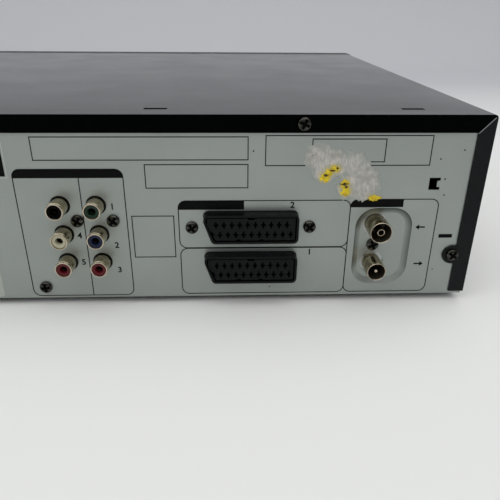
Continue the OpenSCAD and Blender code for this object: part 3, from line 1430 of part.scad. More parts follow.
module fixed_heads() color([0.65, 0.65, 0.66]) {
    for (p = [erase_at, control_at]) translate([deck_x + p[0], p[1], deck_z]) {
        linear_extrude(2) polygon(oblong(14, 10, 2));
        up(2 - eps) linear_extrude(18) polygon(oblong(9, 7, 1.4));
        cylinder(r = 1.5, h = 22);
    }
}
module cam_gear() color([0.9, 0.89, 0.86]) {
    translate([deck_x + cam_at[0], cam_at[1], deck_z + 0.6]) difference() {
        union() {
            linear_extrude(3.4) gear_2d(cam_teeth, gear_module);
            cylinder(r = 8, h = 6);
        }
        up(-1) cylinder(r = 2.06, h = 20);
        up(1.8) linear_extrude(4) difference() {
            circle(r = 18);
            circle(r = 14.5);
            translate([0, -20]) square([40, 20], center = true);
        }
    }
}
module loading_pinion() color([0.85, 0.84, 0.8]) {
    translate([deck_x + cam_pinion_at[0], cam_pinion_at[1], deck_z + 0.6]) difference() {
        union() {
            rotate([0, 0, 180 / cam_pinion_teeth]) linear_extrude(5)
                gear_2d(cam_pinion_teeth, gear_module);
            up(5 - eps) cylinder(r = 4, h = 1.5);
        }
        up(-1) cylinder(r = 1.05, h = 20);
    }
}
module loading_motor() color([0.7, 0.7, 0.7]) {
    top = deck_z - deck_t;
    translate([deck_x + cam_pinion_at[0], cam_pinion_at[1], 0]) {
        up(top - 17) cylinder(r = 11, h = 17);
        up(top - eps) cylinder(r = 3, h = deck_t - 0.2);
        up(top - eps) cylinder(r = 1, h = deck_t + 6.5);
    }
}

top_cover();
rear_panel();
bottom_chassis();
feet();
cover_screws();
panel_screws();
front_panel();
display_window();
cassette_flap();
power_button();
eject_button();
rewind_button();
play_button();
forward_button();
stop_button();
record_button();
channel_rocker();
tray_button();
front_board();
display_tube();
front_jacks();
phono_block();
phono_shells();
phono_inserts();
scart_sockets();
tuner_can();
aerial_in_socket();
aerial_out_plug();
mains_inlet();
main_board();
power_board();
transformer();
loader_frame();
disc_tray();
tray_door();
tray_motor();
motor_pulley();
tray_gear();
tray_belt();
clamp_bridge();
disc_clamp();
traverse();
turntable();
pickup_sled();
deck_plate();
cassette_holder();
cradle_brackets();
head_drum();
drum_base();
capstan();
pinch_arm();
pinch_roller();
supply_reel();
takeup_reel();
supply_guide();
takeup_guide();
fixed_heads();
cam_gear();
loading_pinion();
loading_motor();
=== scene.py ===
"""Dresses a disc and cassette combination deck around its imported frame.

Lengths are in millimetres unless a comment says otherwise. The sockets look to +y, the keys
to -y, and places on the socket panel are measured from the side flange of the aerial end.
"""

from __future__ import annotations

import json
import logging
import math
import random
from dataclasses import dataclass
from enum import Enum
from typing import Callable, Iterable, Mapping, Sequence

import bmesh
import bpy
from mathutils import Matrix, Vector, noise

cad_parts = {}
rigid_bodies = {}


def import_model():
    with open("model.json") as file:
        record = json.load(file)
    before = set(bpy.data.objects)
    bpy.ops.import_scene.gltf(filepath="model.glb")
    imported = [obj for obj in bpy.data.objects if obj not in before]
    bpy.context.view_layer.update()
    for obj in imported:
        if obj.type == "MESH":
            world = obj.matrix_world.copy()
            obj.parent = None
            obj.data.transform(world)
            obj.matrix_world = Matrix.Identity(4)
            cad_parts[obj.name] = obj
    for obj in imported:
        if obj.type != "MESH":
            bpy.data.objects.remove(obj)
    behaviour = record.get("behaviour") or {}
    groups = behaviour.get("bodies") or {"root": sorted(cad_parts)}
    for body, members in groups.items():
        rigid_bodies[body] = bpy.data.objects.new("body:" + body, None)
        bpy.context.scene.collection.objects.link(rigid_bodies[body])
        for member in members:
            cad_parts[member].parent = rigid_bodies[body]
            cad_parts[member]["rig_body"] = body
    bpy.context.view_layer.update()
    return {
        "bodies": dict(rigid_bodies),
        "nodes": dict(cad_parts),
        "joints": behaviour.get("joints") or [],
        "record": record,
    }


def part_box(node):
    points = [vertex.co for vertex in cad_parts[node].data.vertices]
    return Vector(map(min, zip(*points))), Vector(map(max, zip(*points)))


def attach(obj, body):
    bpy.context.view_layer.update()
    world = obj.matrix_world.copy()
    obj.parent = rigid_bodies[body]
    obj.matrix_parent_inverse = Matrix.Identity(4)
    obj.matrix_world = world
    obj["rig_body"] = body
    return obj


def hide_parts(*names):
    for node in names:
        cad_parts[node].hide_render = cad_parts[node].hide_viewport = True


LOG = logging.getLogger("deck")
MM = 0.001
HALF_WIDTH = 215.0
TOP = 97.5
PANEL_FACE = 167.0
LIP_FACE = 167.8
WELD = 2e-6  # metres within which a CAD node's loose triangles share a point
STILL = Matrix.Identity(4)
Form = bmesh.types.BMesh
Socket = bpy.types.NodeSocket
Colour = tuple[float, float, float]
Point = tuple[float, float]
Patch = tuple[float, float, float, float]
Spot = tuple[float, float, float, float]  # places from the flange and the top, half sizes


def linear(code: str) -> Colour:
    """Turns a colour written as six hex digits into linear red, green and blue."""
    parts = [int(code[i : i + 2], 16) / 255 for i in (0, 2, 4)]
    return tuple(c / 12.92 if c <= 0.04045 else ((c + 0.055) / 1.055) ** 2.4 for c in parts)


def from_edge(right: float, down: float) -> Point:
    """Gives the x and z of a place on the panel, from the side flange and the cover's top."""
    return right - HALF_WIDTH, TOP - down


def patch(near: float, far: float, up: float, down: float) -> Patch:
    """Gives the x0, x1, z0 and z1 of a rectangle on the panel, measured as in from_edge."""
    (x0, z1), (x1, z0) = from_edge(near, up), from_edge(far, down)
    return x0, x1, z0, z1


def middle(low: Vector, high: Vector) -> Matrix:
    """Gives the shift in x and z to the middle of a box."""
    return Matrix.Translation(((low.x + high.x) / 2, 0, (low.z + high.z) / 2))


def extent(points: Sequence[Vector]) -> tuple[Vector, Vector]:
    """Gives the lowest and highest corner of the box round some points."""
    low, high = (Vector([pick(p[i] for p in points) for i in range(3)]) for pick in (min, max))
    return low, high


def arc(angle: float, steps: int) -> list[float]:
    """Gives even angles from 0 up to and with the last."""
    return [angle * i / steps for i in range(steps + 1)]


def mesh_of(form: Form, name: str) -> bpy.types.Mesh:
    """Makes a smooth mesh of a form, in metres, and uses the form up.

    Args:
        form: The form.
        name: The mesh's name.

    Returns:
        The mesh.
    """
    bmesh.ops.scale(form, vec=(MM, MM, MM), verts=form.verts)
    mesh = bpy.data.meshes.new(name)
    form.to_mesh(mesh)
    form.free()
    mesh.shade_smooth()
    return mesh


def show(name: str, data: bpy.types.ID) -> bpy.types.Object:
    """Makes an object of some data and puts it into the scene.

    Args:
        name: The object's name.
        data: Its mesh, lamp or camera.

    Returns:
        The object.
    """
    made = bpy.data.objects.new(name, data)
    bpy.context.scene.collection.objects.link(made)
    return made


class Grain(Enum):
    """How a surface's fine relief runs."""

    PEEL = "sprayed paint"
    SPARK = "moulded plastic"
    BRUSHED = "drawn or brushed metal"
    TURNED = "lathe rings"
    SPANGLE = "zinc crystals"
    TRACKS = "printed circuit"
    LAMINATED = "stacked sheets"
    FIBRE = "torn paper"


@dataclass(frozen=True)
class Finish:
    """One surface finish, with everything its shader needs."""

    title: str
    colour: str
    accent: str
    roughness: float
    grain: Grain = Grain.SPARK
    grain_size: float = 0.5
    relief: float = 0.03
    mottle_size: float = 14.0
    mottle: float = 0.4
    metallic: float = 0.0
    rough_spread: float = 0.08
    dust: float = 0.0
    specular: float = 0.5
    coat: float = 0.0
    transmission: float = 0.0
    under: str = ""
    stain: str = ""
    # colour of the painted shade on shallow sideways and downward slopes
    slope: str = ""
    scuff: float = 0.0
    centre: tuple[float, float, float] = (0.0, 0.0, 0.0)
    axis: str = "Z"

    def material(self) -> bpy.types.Material:
        """Builds the material once and hands the same one back afterwards."""
        return bpy.data.materials.get(self.title) or Shader(self).build()


class Shader:
    """Lays the nodes of one finish, in the object space of the piece."""

    MOTTLE = (0.35, 0.68)
    HOLLOWS = (0.2, 0.85, 0.0, 0.6)
    SMUDGE = (0.3, 0.7)
    SCUFF = (0.69, 0.74)
    LINT = (0.60, 0.72)
    FIBRES = (0.38, 0.6, 0.35, 1.0)
    TRACK_EDGES = (0.05, 0.12)
    DRAWN_OUT = 60
    WAVE_STRETCH = 3.2
    HOLLOW_SHADE = 0.55
    GLOSSIEST = 0.03
    COAT_ROUGHNESS = 0.08
    BARE_ROUGHNESS = 0.38
    SLOPE_FOOT, SLOPE_EDGE = 1.8, 0.1  # below the panel's face
    MIX_SHARE, MIX_UNDER, MIX_OVER, MIX_RESULT = 0, 6, 7, 2  # the colour sockets of a Mix node
    SCUFF_COLOUR = "a5a7a8"
    DUST_COLOUR = "b9b7b0"

    def __init__(self, finish: Finish) -> None:
        """Starts an empty node tree.

        Args:
            finish: The finish to lay out.
        """
        self.finish = finish
        self.made = bpy.data.materials.new(finish.title)
        self.made.use_nodes = True
        self.tree = self.made.node_tree
        self.tree.nodes.clear()
        self.place = self.add("ShaderNodeTexCoord").outputs["Object"]

    def add(
        self, kind: str, inputs: Mapping[str | int, object] | None = None, **settings: object
    ) -> bpy.types.Node:
        """Adds one node.

        Args:
            kind: The node's type name.
            inputs: What each input gets, a value or a socket to link.
            **settings: Attributes to set on it first.

        Returns:
            The new node.
        """
        node = self.tree.nodes.new(kind)
        for name, value in settings.items():
            setattr(node, name, value)
        for key, value in (inputs or {}).items():
            if isinstance(value, Socket):
                self.tree.links.new(value, node.inputs[key])
            else:
                node.inputs[key].default_value = value
        return node

    def field(
        self, size: float, detail: float, stretch: Sequence[float] = (1, 1, 1), rough: float = 0.5
    ) -> Socket:
        """Adds a noise field with values near 0.5.

        Args:
            size: Millimetres across one feature.
            detail: Octaves of the noise.
            stretch: How much the field is drawn out along x, y and z.
            rough: How strong the finer octaves are.

        Returns:
            The field.
        """
        scale = [1 / (size * MM * s) for s in stretch]
        spread = self.add("ShaderNodeMapping", {"Vector": self.place, "Scale": scale})
        cloud = {"Vector": spread.outputs[0], "Scale": 1.0, "Detail": detail, "Roughness": rough}
        return self.add("ShaderNodeTexNoise", cloud, noise_dimensions="3D").outputs["Fac"]

    def cells(self, size: float, feature: str = "F1", output: str = "Distance") -> Socket:
        """Adds a field of cells so many millimetres across."""
        crystal = {"Vector": self.place, "Scale": 1 / (size * MM)}
        return self.add("ShaderNodeTexVoronoi", crystal, feature=feature).outputs[output]

    def waves(self, kind: str, distortion: float) -> Socket:
        """Adds rings about the finish's centre, or bands along its axis.

        Args:
            kind: RINGS or BANDS.
            distortion: How uneven they are.

        Returns:
            The field.
        """
        shift = [-c * MM for c in self.finish.centre]
        moved = self.add("ShaderNodeMapping", {"Vector": self.place, "Location": shift})
        pitch = 1 / (self.finish.grain_size * MM * self.WAVE_STRETCH)
        wave = {"Vector": moved.outputs[0], "Scale": pitch, "Distortion": distortion}
        way = {"rings_direction": self.finish.axis, "bands_direction": self.finish.axis}
        return self.add("ShaderNodeTexWave", wave, wave_type=kind, **way).outputs["Fac"]

    def window(
        self, value: Socket, low: float, high: float, start: float = 0.0, end: float = 1.0
    ) -> Socket:
        """Maps the range low to high of a field onto the range start to end."""
        ends = {"Value": value, "From Min": low, "From Max": high, "To Min": start, "To Max": end}
        return self.add("ShaderNodeMapRange", ends).outputs["Result"]

    def mix(self, share: Socket, under: Socket | Colour, over: Socket | Colour) -> Socket:
        """Mixes two colours by a field.

        Args:
            share: How much of the second shows.
            under: The first colour.
            over: The second colour.

        Returns:
            The mixed colour.
        """
        a, b = (c if isinstance(c, Socket) else (*c, 1) for c in (under, over))
        parts = {self.MIX_SHARE: share, self.MIX_UNDER: a, self.MIX_OVER: b}
        return self.add("ShaderNodeMix", parts, data_type="RGBA").outputs[self.MIX_RESULT]

    def times(self, first: Socket, second: Socket) -> Socket:
        """Multiplies two fields."""
        factors = {0: first, 1: second}
        return self.add("ShaderNodeMath", factors, operation="MULTIPLY", use_clamp=True).outputs[0]

    def relief(self) -> Socket:
        """Adds the height field that the finish's grain calls for.

        Returns:
            The height.
        """
        size, grain = self.finish.grain_size, self.finish.grain
        if grain is Grain.PEEL:
            return self.field(size, 3.0)
        if grain is Grain.BRUSHED:
            drawn = [self.DRAWN_OUT if axis == self.finish.axis else 1 for axis in "XYZ"]
            return self.field(size * 0.3, 2.0, drawn)
        if grain is Grain.TURNED:
            return self.waves("RINGS", 0.6)
        if grain is Grain.SPANGLE:
            return self.cells(size, output="Color")
        if grain is Grain.TRACKS:
            return self.window(self.cells(size, "DISTANCE_TO_EDGE"), *self.TRACK_EDGES)
        if grain is Grain.LAMINATED:
            return self.waves("BANDS", 0.3)
        if grain is Grain.FIBRE:
            return self.field(size, 6.0, (1, 1, 2.5), 0.7)
        return self.field(size, 5.0, rough=0.65)

    def worn(self, colour: Socket) -> tuple[Socket, Socket]:
        """Lets what lies under a thin skin show, and yellows it, by the piece's attributes.

        Args:
            colour: The skin's colour.

        Returns:
            The colour as it is seen, and how much of the skin is there.
        """
        stain, cover = (
            self.add("ShaderNodeAttribute", attribute_name=name).outputs["Fac"]
            for name in ("glue_stain", "skin_cover")
        )
        tinted = self.mix(stain, colour, linear(self.finish.stain))
        fibres = self.window(self.field(0.8, 4.0, (1, 1, 5), 0.7), *self.FIBRES)
        left = self.times(cover, fibres)
        return self.mix(left, linear(self.finish.under), tinted), left

    def shade_slopes(self, colour: Socket) -> Socket:
        """Paints shade on the upper part of shallow slopes that face sideways or down, by darkening
        their colour.

        Args:
            colour: The colour of the flat.

        Returns:
            The colour with its painted slope shade.
        """
        facing = self.add("ShaderNodeNewGeometry").outputs["Normal"]
        normal = self.add("ShaderNodeSeparateXYZ", {0: facing}).outputs
        height = self.add("ShaderNodeSeparateXYZ", {0: self.place}).outputs["Y"]
        lean = self.times(self.window(normal["Y"], 0.99, 0.9), self.window(normal["Y"], 0.3, 0.6))
        share = self.times(lean, self.window(normal["Z"], 0.35, -0.1))
        foot, edge = ((PANEL_FACE - deep) * MM for deep in (self.SLOPE_FOOT, self.SLOPE_EDGE))
        share = self.times(share, self.window(height, foot, edge))
        return self.mix(share, colour, linear(self.finish.slope))

    def surface(self, inputs: Mapping[str, object]) -> bpy.types.Material:
        """Closes the material with one surface.

        Args:
            inputs: What the surface's inputs get.

        Returns:
            The finished material.
        """
        shade = self.add("ShaderNodeBsdfPrincipled", inputs).outputs["BSDF"]
        self.add("ShaderNodeOutputMaterial", {"Surface": shade})
        return self.made

    def build(self) -> bpy.types.Material:
        """Joins the fields into one surface.

        Returns:
            The finished material.
        """
        finish = self.finish
        base, relief = linear(finish.colour), self.relief()
        cloud = self.field(finish.mottle_size, 4.0)
        patches = self.window(cloud, *self.MOTTLE, 0.0, finish.mottle)
        colour = self.mix(patches, base, linear(finish.accent))
        if finish.grain in (Grain.SPANGLE, Grain.TRACKS, Grain.LAMINATED):
            hollows = self.window(relief, *self.HOLLOWS)
            colour = self.mix(hollows, tuple(c * self.HOLLOW_SHADE for c in base), colour)
        smooth = max(finish.roughness - finish.rough_spread, self.GLOSSIEST)
        rough = min(finish.roughness + finish.rough_spread, 1.0)
        smudge = self.field(finish.mottle_size * 0.4, 5.0, rough=0.6)
        gloss: dict[str, object] = {
            "Roughness": self.window(smudge, *self.SMUDGE, smooth, rough),
            "Metallic": finish.metallic,
        }
        if finish.under:
            colour, skin = self.worn(colour)
            gloss["Metallic"] = self.window(skin, 0.0, 1.0, finish.metallic, 0.0)
            gloss["Roughness"] = self.window(skin, 0.0, 1.0, self.BARE_ROUGHNESS, finish.roughness)
        # painted shade on the slopes of the pressed recess
        if finish.slope:
            colour = self.shade_slopes(colour)
        if finish.scuff:
            streaks = self.field(1.6, 2.0, (7, 1, 1), 0.4)
            share = self.window(streaks, *self.SCUFF, 0.0, finish.scuff)
            colour = self.mix(share, colour, linear(self.SCUFF_COLOUR))
        if finish.dust:
            lint = self.window(self.field(1.1, 6.0, rough=0.8), *self.LINT, 0.0, finish.dust)
            colour = self.mix(lint, colour, linear(self.DUST_COLOUR))
        raised = {"Strength": 1.0, "Distance": finish.relief * MM, "Height": relief}
        return self.surface({
            "Base Color": colour,
            "Normal": self.add("ShaderNodeBump", raised).outputs["Normal"],
            "Specular IOR Level": finish.specular,
            "Coat Weight": finish.coat,
            "Coat Roughness": self.COAT_ROUGHNESS,
            "Transmission Weight": finish.transmission,
            **gloss,
        })


def insert_plastic(tone: str, colour: str, accent: str, specular: float = 0.3) -> Finish:
    """Gives the moulded plastic of a phono socket's insert."""
    title = tone + "_insert_plastic"
    return Finish(title, colour, accent, 0.4, Grain.SPARK, 0.25, 0.01, 3, specular=specular)


class Stock:
    """The finishes that the deck is made of.

    Each gives its title, colour, accent and roughness, then its grain with the grain's size and
    relief, then the size of its mottle, and by name what else sets it apart.
    """

    COVER = Finish("satin_black_cover_paint", "0f1211", "151817", 0.17, Grain.PEEL, 0.55, 0.003,
                   90, rough_spread=0.03, dust=0.06, scuff=0.3)
    # the lip and flange finishes are darker copies of the cover's one paint, with their reflection
    # turned down: painted shade on the rear lip and the side flanges
    LIP_SHADE = Finish("cover_paint_lip_shade", "010202", "030404", 0.45, Grain.PEEL, 0.55, 0.008, 40,
                 rough_spread=0.05, dust=0.02, specular=0.015)
    FLANGE_SHADE = Finish("cover_paint_flange_shade", "090c0e", "101417", 0.38, Grain.PEEL, 0.55, 0.008, 30,
                    rough_spread=0.05, dust=0.04, specular=0.16)
    # the folded edge's light strip: partly bare metal, partly a painted highlight
    EDGE_WEAR_AND_HIGHLIGHT = Finish("folded_edge_wear_and_highlight", "8d9295", "6f7477", 0.4, Grain.PEEL, 0.4, 0.006, 3,
                       metallic=0.6)
    # its slope colour is painted shade: the recess's sideways and downward slopes darken to it
    PANEL = Finish("silver_grey_panel_paint", "9ba19d", "929894", 0.36, Grain.PEEL, 0.35, 0.008,
                   45, metallic=0.6, rough_spread=0.05, dust=0.05, slope="474d49")
    ZINC = Finish("spangled_zinc_sheet", "a9adb0", "8d9295", 0.38, Grain.SPANGLE, 7, 0.004,
                  mottle=0.6, metallic=0.9)
    FOOT = Finish("foot_rubber_grey", "26272a", "34353a", 0.82, Grain.SPARK, 0.35, 0.05)
    SCREW = Finish("bronze_zinc_screw", "504f4a", "1f1e1b", 0.22, Grain.PEEL, 0.35, 0.012, 2.2,
                   mottle=0.8, metallic=1.0)
    # painted shade: near black in the screws' cross recesses
    RECESS_SHADE = Finish("screw_recess_painted_shade", "020202", "0a0907", 0.7, Grain.PEEL, 0.3, 0.02, 1.5,
                    specular=0.1)
    FRONT = Finish("charcoal_front_plastic", "17181a", "1f2023", 0.42, Grain.SPARK, 0.3, 0.015,
                   40, dust=0.05)
    TRIM = Finish("silver_front_plastic", "a6a9ad", "9a9da1", 0.38, Grain.SPARK, 0.2, 0.006, 30,
                  metallic=0.55)
    SMOKE = Finish("smoked_window", "0a0b0d", "0d0f12", 0.07, Grain.PEEL, 30, 0.01,
                   rough_spread=0.02, coat=0.6, transmission=0.7)
    TUBE = Finish("display_tube_glass", "0c1413", "14201e", 0.1, Grain.PEEL, 12, 0.01,
                  rough_spread=0.03, coat=1.0)
    GREEN = Finish("green_circuit_board", "1f5a34", "2c6b3f", 0.36, Grain.TRACKS, 5, 0.02)
    TAN = Finish("tan_circuit_board", "9a7a45", "876734", 0.55, Grain.TRACKS, 6, 0.02)
    BLACK = Finish("black_socket_moulding", "030506", "080a0a", 0.34, Grain.SPARK, 0.22, 0.006,
                   8, dust=0.03, specular=0.14)
    GREY = Finish("dark_grey_socket_face", "0a0d0e", "070909", 0.5, Grain.SPARK, 0.25, 0.01, 6,
                  dust=0.05, specular=0.14)
    NICKEL = Finish("aged_nickel", "cac0a3", "9b8f71", 0.2, Grain.PEEL, 0.6, 0.004, 2.6,
                    mottle=0.8, metallic=1.0)
    RIM = Finish("polished_nickel_rim", "c4b9a8", "9a8e7a", 0.18, Grain.PEEL, 0.5, 0.002, 2,
                 metallic=1.0)
    # a darker copy of the nickel: painted shade inside the aerial bores and on the euro-connector
    # contacts deep in their cavities
    BORE_SHADE = Finish("nickel_bore_painted_shade", "6a6355", "453f34", 0.45, Grain.PEEL, 0.4, 0.01, 1.4,
                  mottle=0.8, metallic=0.8)
    # a dark metal for the contact down each phono hole: painted shade
    SPRING_SHADE = Finish("contact_spring_painted_shade", "3a3328", "251f17", 0.4, Grain.PEEL, 0.3, 0.003,
                    2, metallic=1.0)
    TIN = Finish("tinplate_can", "b4b8ba", "9aa0a3", 0.3, Grain.BRUSHED, 0.6, 0.004,
                 metallic=0.95, axis="X")
    IRON = Finish("transformer_iron", "3c3a38", "54473a", 0.5, Grain.LAMINATED, 0.5, 0.08,
                  metallic=0.6, axis="X")
    PLASTIC = Finish("black_mechanism_plastic", "141517", "1d1e20", 0.45, Grain.SPARK, 0.3, 0.015)
    STEEL = Finish("plated_steel", "b1b3b5", "8e9194", 0.27, Grain.BRUSHED, 0.5, 0.003,
                   metallic=1.0)
    GEAR = Finish("acetal_gear_plastic", "d9d6cb", "c9c5b6", 0.42, Grain.SPARK, 0.6, 0.01)
    BELT = Finish("belt_rubber_black", "18181a", "232326", 0.7, Grain.SPARK, 0.2, 0.02)
    DRUM = Finish("turned_drum_aluminium", "c4c6c8", "aeb1b4", 0.18, Grain.TURNED, 0.3, 0.003,
                  metallic=1.0, centre=(-100, 70, 0))
    INK = Finish("black_print_ink", "070808", "0d0e0e", 0.6, Grain.PEEL, 0.5, 0.004, 8,
                 specular=0.08)
    LINE = Finish("grey_print_line", "17191b", "24272a", 0.6, Grain.PEEL, 0.5, 0.004, 8,
                  specular=0.2)
    PALE_INK = Finish("pale_print_ink", "b9bcbf", "a9acb0", 0.5, Grain.PEEL, 0.5, 0.004, 8)
    LABEL = Finish("blank_white_label", "aeb3ab", "a2a79f", 0.5, Grain.FIBRE, 1.2, 0.01, 18,
                   dust=0.15)
    PAPER = Finish("torn_label_paper", "cbc6c0", "9f9a93", 0.8, Grain.FIBRE, 0.9, 0.04, 3,
                   mottle=1.0, metallic=0.6, under="9ca29d", stain="d8c22a")
    GLUE = Finish("dried_label_glue", "e6cf1c", "b8950f", 0.42, Grain.PEEL, 0.8, 0.06, 1.6,
                  mottle=0.9)
    CRUST = Finish("brown_glue_crust", "4e3f10", "2a220c", 0.6, Grain.PEEL, 0.5, 0.06, 1.2,
                   mottle=0.8)
    DIRT = Finish("dark_dirt_speck", "1a1714", "2c2620", 0.8, Grain.SPARK, 0.2, 0.03)
    GREEN_INSERT = insert_plastic("green", "072213", "0b2f1b")
    BLUE_INSERT = insert_plastic("blue", "07132f", "0d1b3c")
    RED_INSERT = insert_plastic("red", "4f0610", "620c17")
    IVORY_INSERT = insert_plastic("ivory", "b5b198", "a39e85")
    YELLOW_INSERT = insert_plastic("yellow", "b58d12", "a07a0c")
    BLACK_INSERT = insert_plastic("black", "020202", "050505", 0.04)


class Bench:
    """Bmesh work that several sub-assemblies share. Flat forms lie in the plane y = 0."""

    @staticmethod
    def spun(profile: Sequence[Point], steps: int = 48) -> Form:
        """Spins a profile about the y axis.

        Args:
            profile: Radius and y of each point, from one end to the other.
            steps: Facets round the axis.

        Returns:
            The spun form, closed at its poles, with faces outwards.
        """
        form = bmesh.new()
        points = [form.verts.new((r, y, 0)) for r, y in profile]
        edges = [form.edges.new(pair) for pair in zip(points, points[1:])]
        bmesh.ops.spin(
            form, geom=points + edges, cent=(0, 0, 0), axis=(0, 1, 0), dvec=(0, 0, 0),
            angle=math.tau, steps=steps, use_merge=True, use_duplicate=False,
        )
        bmesh.ops.remove_doubles(form, verts=form.verts, dist=1e-4)
        bmesh.ops.recalc_face_normals(form, faces=form.faces)
        return form

    @staticmethod
    def grid(rect: Patch, y: float = 0.0, across: int = 1, along: int = 1) -> Form:
        """Makes a flat grid that faces +y.

        Args:
            rect: Its x0, x1, z0 and z1.
            y: The y of its plane.
            across: Cells along x.
            along: Cells along z.

        Returns:
            The grid.
        """
        x0, x1, z0, z1 = rect
        place = Matrix.Translation(((x0 + x1) / 2, y, (z0 + z1) / 2))
        place @= Matrix.Diagonal((x1 - x0, 1, z1 - z0, 1)) @ Matrix.Rotation(-math.pi / 2, 4, "X")
        form = bmesh.new()
        bmesh.ops.create_grid(form, x_segments=across, y_segments=along, size=0.5, matrix=place)
        return form

    @staticmethod
    def plate(rect: Patch, radius: float = 0.0, corners: str = "abcd") -> Form:
        """Makes a flat plate.

        Args:
            rect: Its x0, x1, z0 and z1.
            radius: Corner radius.
            corners: Which corners are rounded: a at x0 z0, b at x1 z0, c at x1 z1, d at x0 z1.

        Returns:
            A form with one face.
        """
        form = Bench.grid(rect)
        if radius > 0:
            x, z = (rect[0] + rect[1]) / 2, (rect[2] + rect[3]) / 2
            names = {(False, False): "a", (True, False): "b", (True, True): "c", (False, True): "d"}
            chosen = [v for v in form.verts if names[v.co.x > x, v.co.z > z] in corners]
            bmesh.ops.bevel(
                form, geom=chosen, offset=radius, affect="VERTICES", segments=6, profile=0.5,
                material=-1,
            )
        return form

    @staticmethod
    def outline(points: Sequence[Point]) -> Form:
        """Makes one flat face.

        Args:
            points: Its corners' x and z, in turn.

        Returns:
            The face.
        """
        form = bmesh.new()
        form.faces.new([form.verts.new((x, 0, z)) for x, z in points])
        return form

    @staticmethod
    def numeral(figure: str, height: float) -> Form:
        """Sets a plain figure as a flat form that is read from +y.

        Args:
            figure: The figure, such as "2".
            height: Its height.

        Returns:
            The form, with its middle at the origin.
        """
        curve = bpy.data.curves.new("figure", "FONT")
        curve.body = figure
        curve.size = height * 1.4
        curve.offset = height * 0.035
        curve.resolution_u = 3
        holder = bpy.data.objects.new("figure", curve)
        mesh = bpy.data.meshes.new_from_object(holder)
        form = bmesh.new()
        form.from_mesh(mesh)
        bpy.data.objects.remove(holder)
        bpy.data.curves.remove(curve)
        bpy.data.meshes.remove(mesh)
        bmesh.ops.remove_doubles(form, verts=form.verts, dist=1e-4)
        low, high = extent([v.co for v in form.verts])
        bmesh.ops.translate(form, verts=form.verts, vec=-(low + high) / 2)
        upright = Matrix(((-1, 0, 0, 0), (0, 0, 1, 0), (0, 1, 0, 0), (0, 0, 0, 1)))
        bmesh.ops.transform(form, verts=form.verts, matrix=upright)
        return form

    @staticmethod
    def thicken(form: Form, low: float, high: float) -> Form:
        """Gives a flat form a body.

        Args:
            form: The flat form.
            low: The y of its back.
            high: The y of its front.

        Returns:
            The same form.
        """
        raised = bmesh.ops.extrude_face_region(form, geom=list(form.faces))["geom"]
        upper = {g for g in raised if isinstance(g, bmesh.types.BMVert)}
        lower = [v for v in form.verts if v not in upper]
        bmesh.ops.translate(form, verts=list(upper), vec=(0, high, 0))
        bmesh.ops.translate(form, verts=lower, vec=(0, low, 0))
        bmesh.ops.recalc_face_normals(form, faces=form.faces)
        return form

    @staticmethod
    def ring(rect: Patch, line: float, radius: float = 0.0) -> Form:
        """Makes a flat frame.

        Args:
            rect: Its outer x0, x1, z0 and z1.
            line: Width of its line.
            radius: Outer corner radius.

        Returns:
            The frame, one face deep.
        """
        form = Bench.plate(rect, radius)
        inner = list(form.faces)
        bmesh.ops.inset_region(
            form, faces=inner, thickness=line, depth=0, use_even_offset=True, use_boundary=True
        )
        bmesh.ops.delete(form, geom=inner, context="FACES")
        return form

    @staticmethod
    def gather(parts: Iterable[tuple[Form, Matrix, int]]) -> Form:
        """Puts several forms into one and uses them up.

        Args:
            parts: Each form, where it goes, and the material index it takes, or -1 for its own.

        Returns:
            The joined form.
        """
        joined, used = bmesh.new(), {}
        for form, place, index in parts:
            mesh = bpy.data.meshes.new("passing")
            form.to_mesh(mesh)
            mesh.transform(place)
            start = len(joined.faces)
            joined.from_mesh(mesh)
            bpy.data.meshes.remove(mesh)
            joined.faces.ensure_lookup_table()
            if index >= 0:
                for face in joined.faces[start:]:
                    face.material_index = index
            used[id(form)] = form
        for form in used.values():
            form.free()
        return joined

    @staticmethod
    def pile(forms: Iterable[Form]) -> Form:
        """Puts forms into one as they lie, all with the first finish."""
        return Bench.gather([(form, STILL, 0) for form in forms])

    @staticmethod
    def polish(form: Form, low: float) -> Form:
        """Gives the faces of a spun form above a height its second finish.

        Args:
            form: The form, spun about the y axis.
            low: The y above which faces take material index 1.

        Returns:
            The same form.
        """
        for face in form.faces:
            if face.calc_center_median().y > low:
                face.material_index = 1
        return form

    @staticmethod
    def cut(form: Form, point: Vector, normal: Vector, dist: float = 0.0) -> None:
        """Parts a form's faces along a plane."""
        parts = list(form.verts) + list(form.edges) + list(form.faces)
        bmesh.ops.bisect_plane(form, geom=parts, dist=dist, plane_co=point, plane_no=normal)

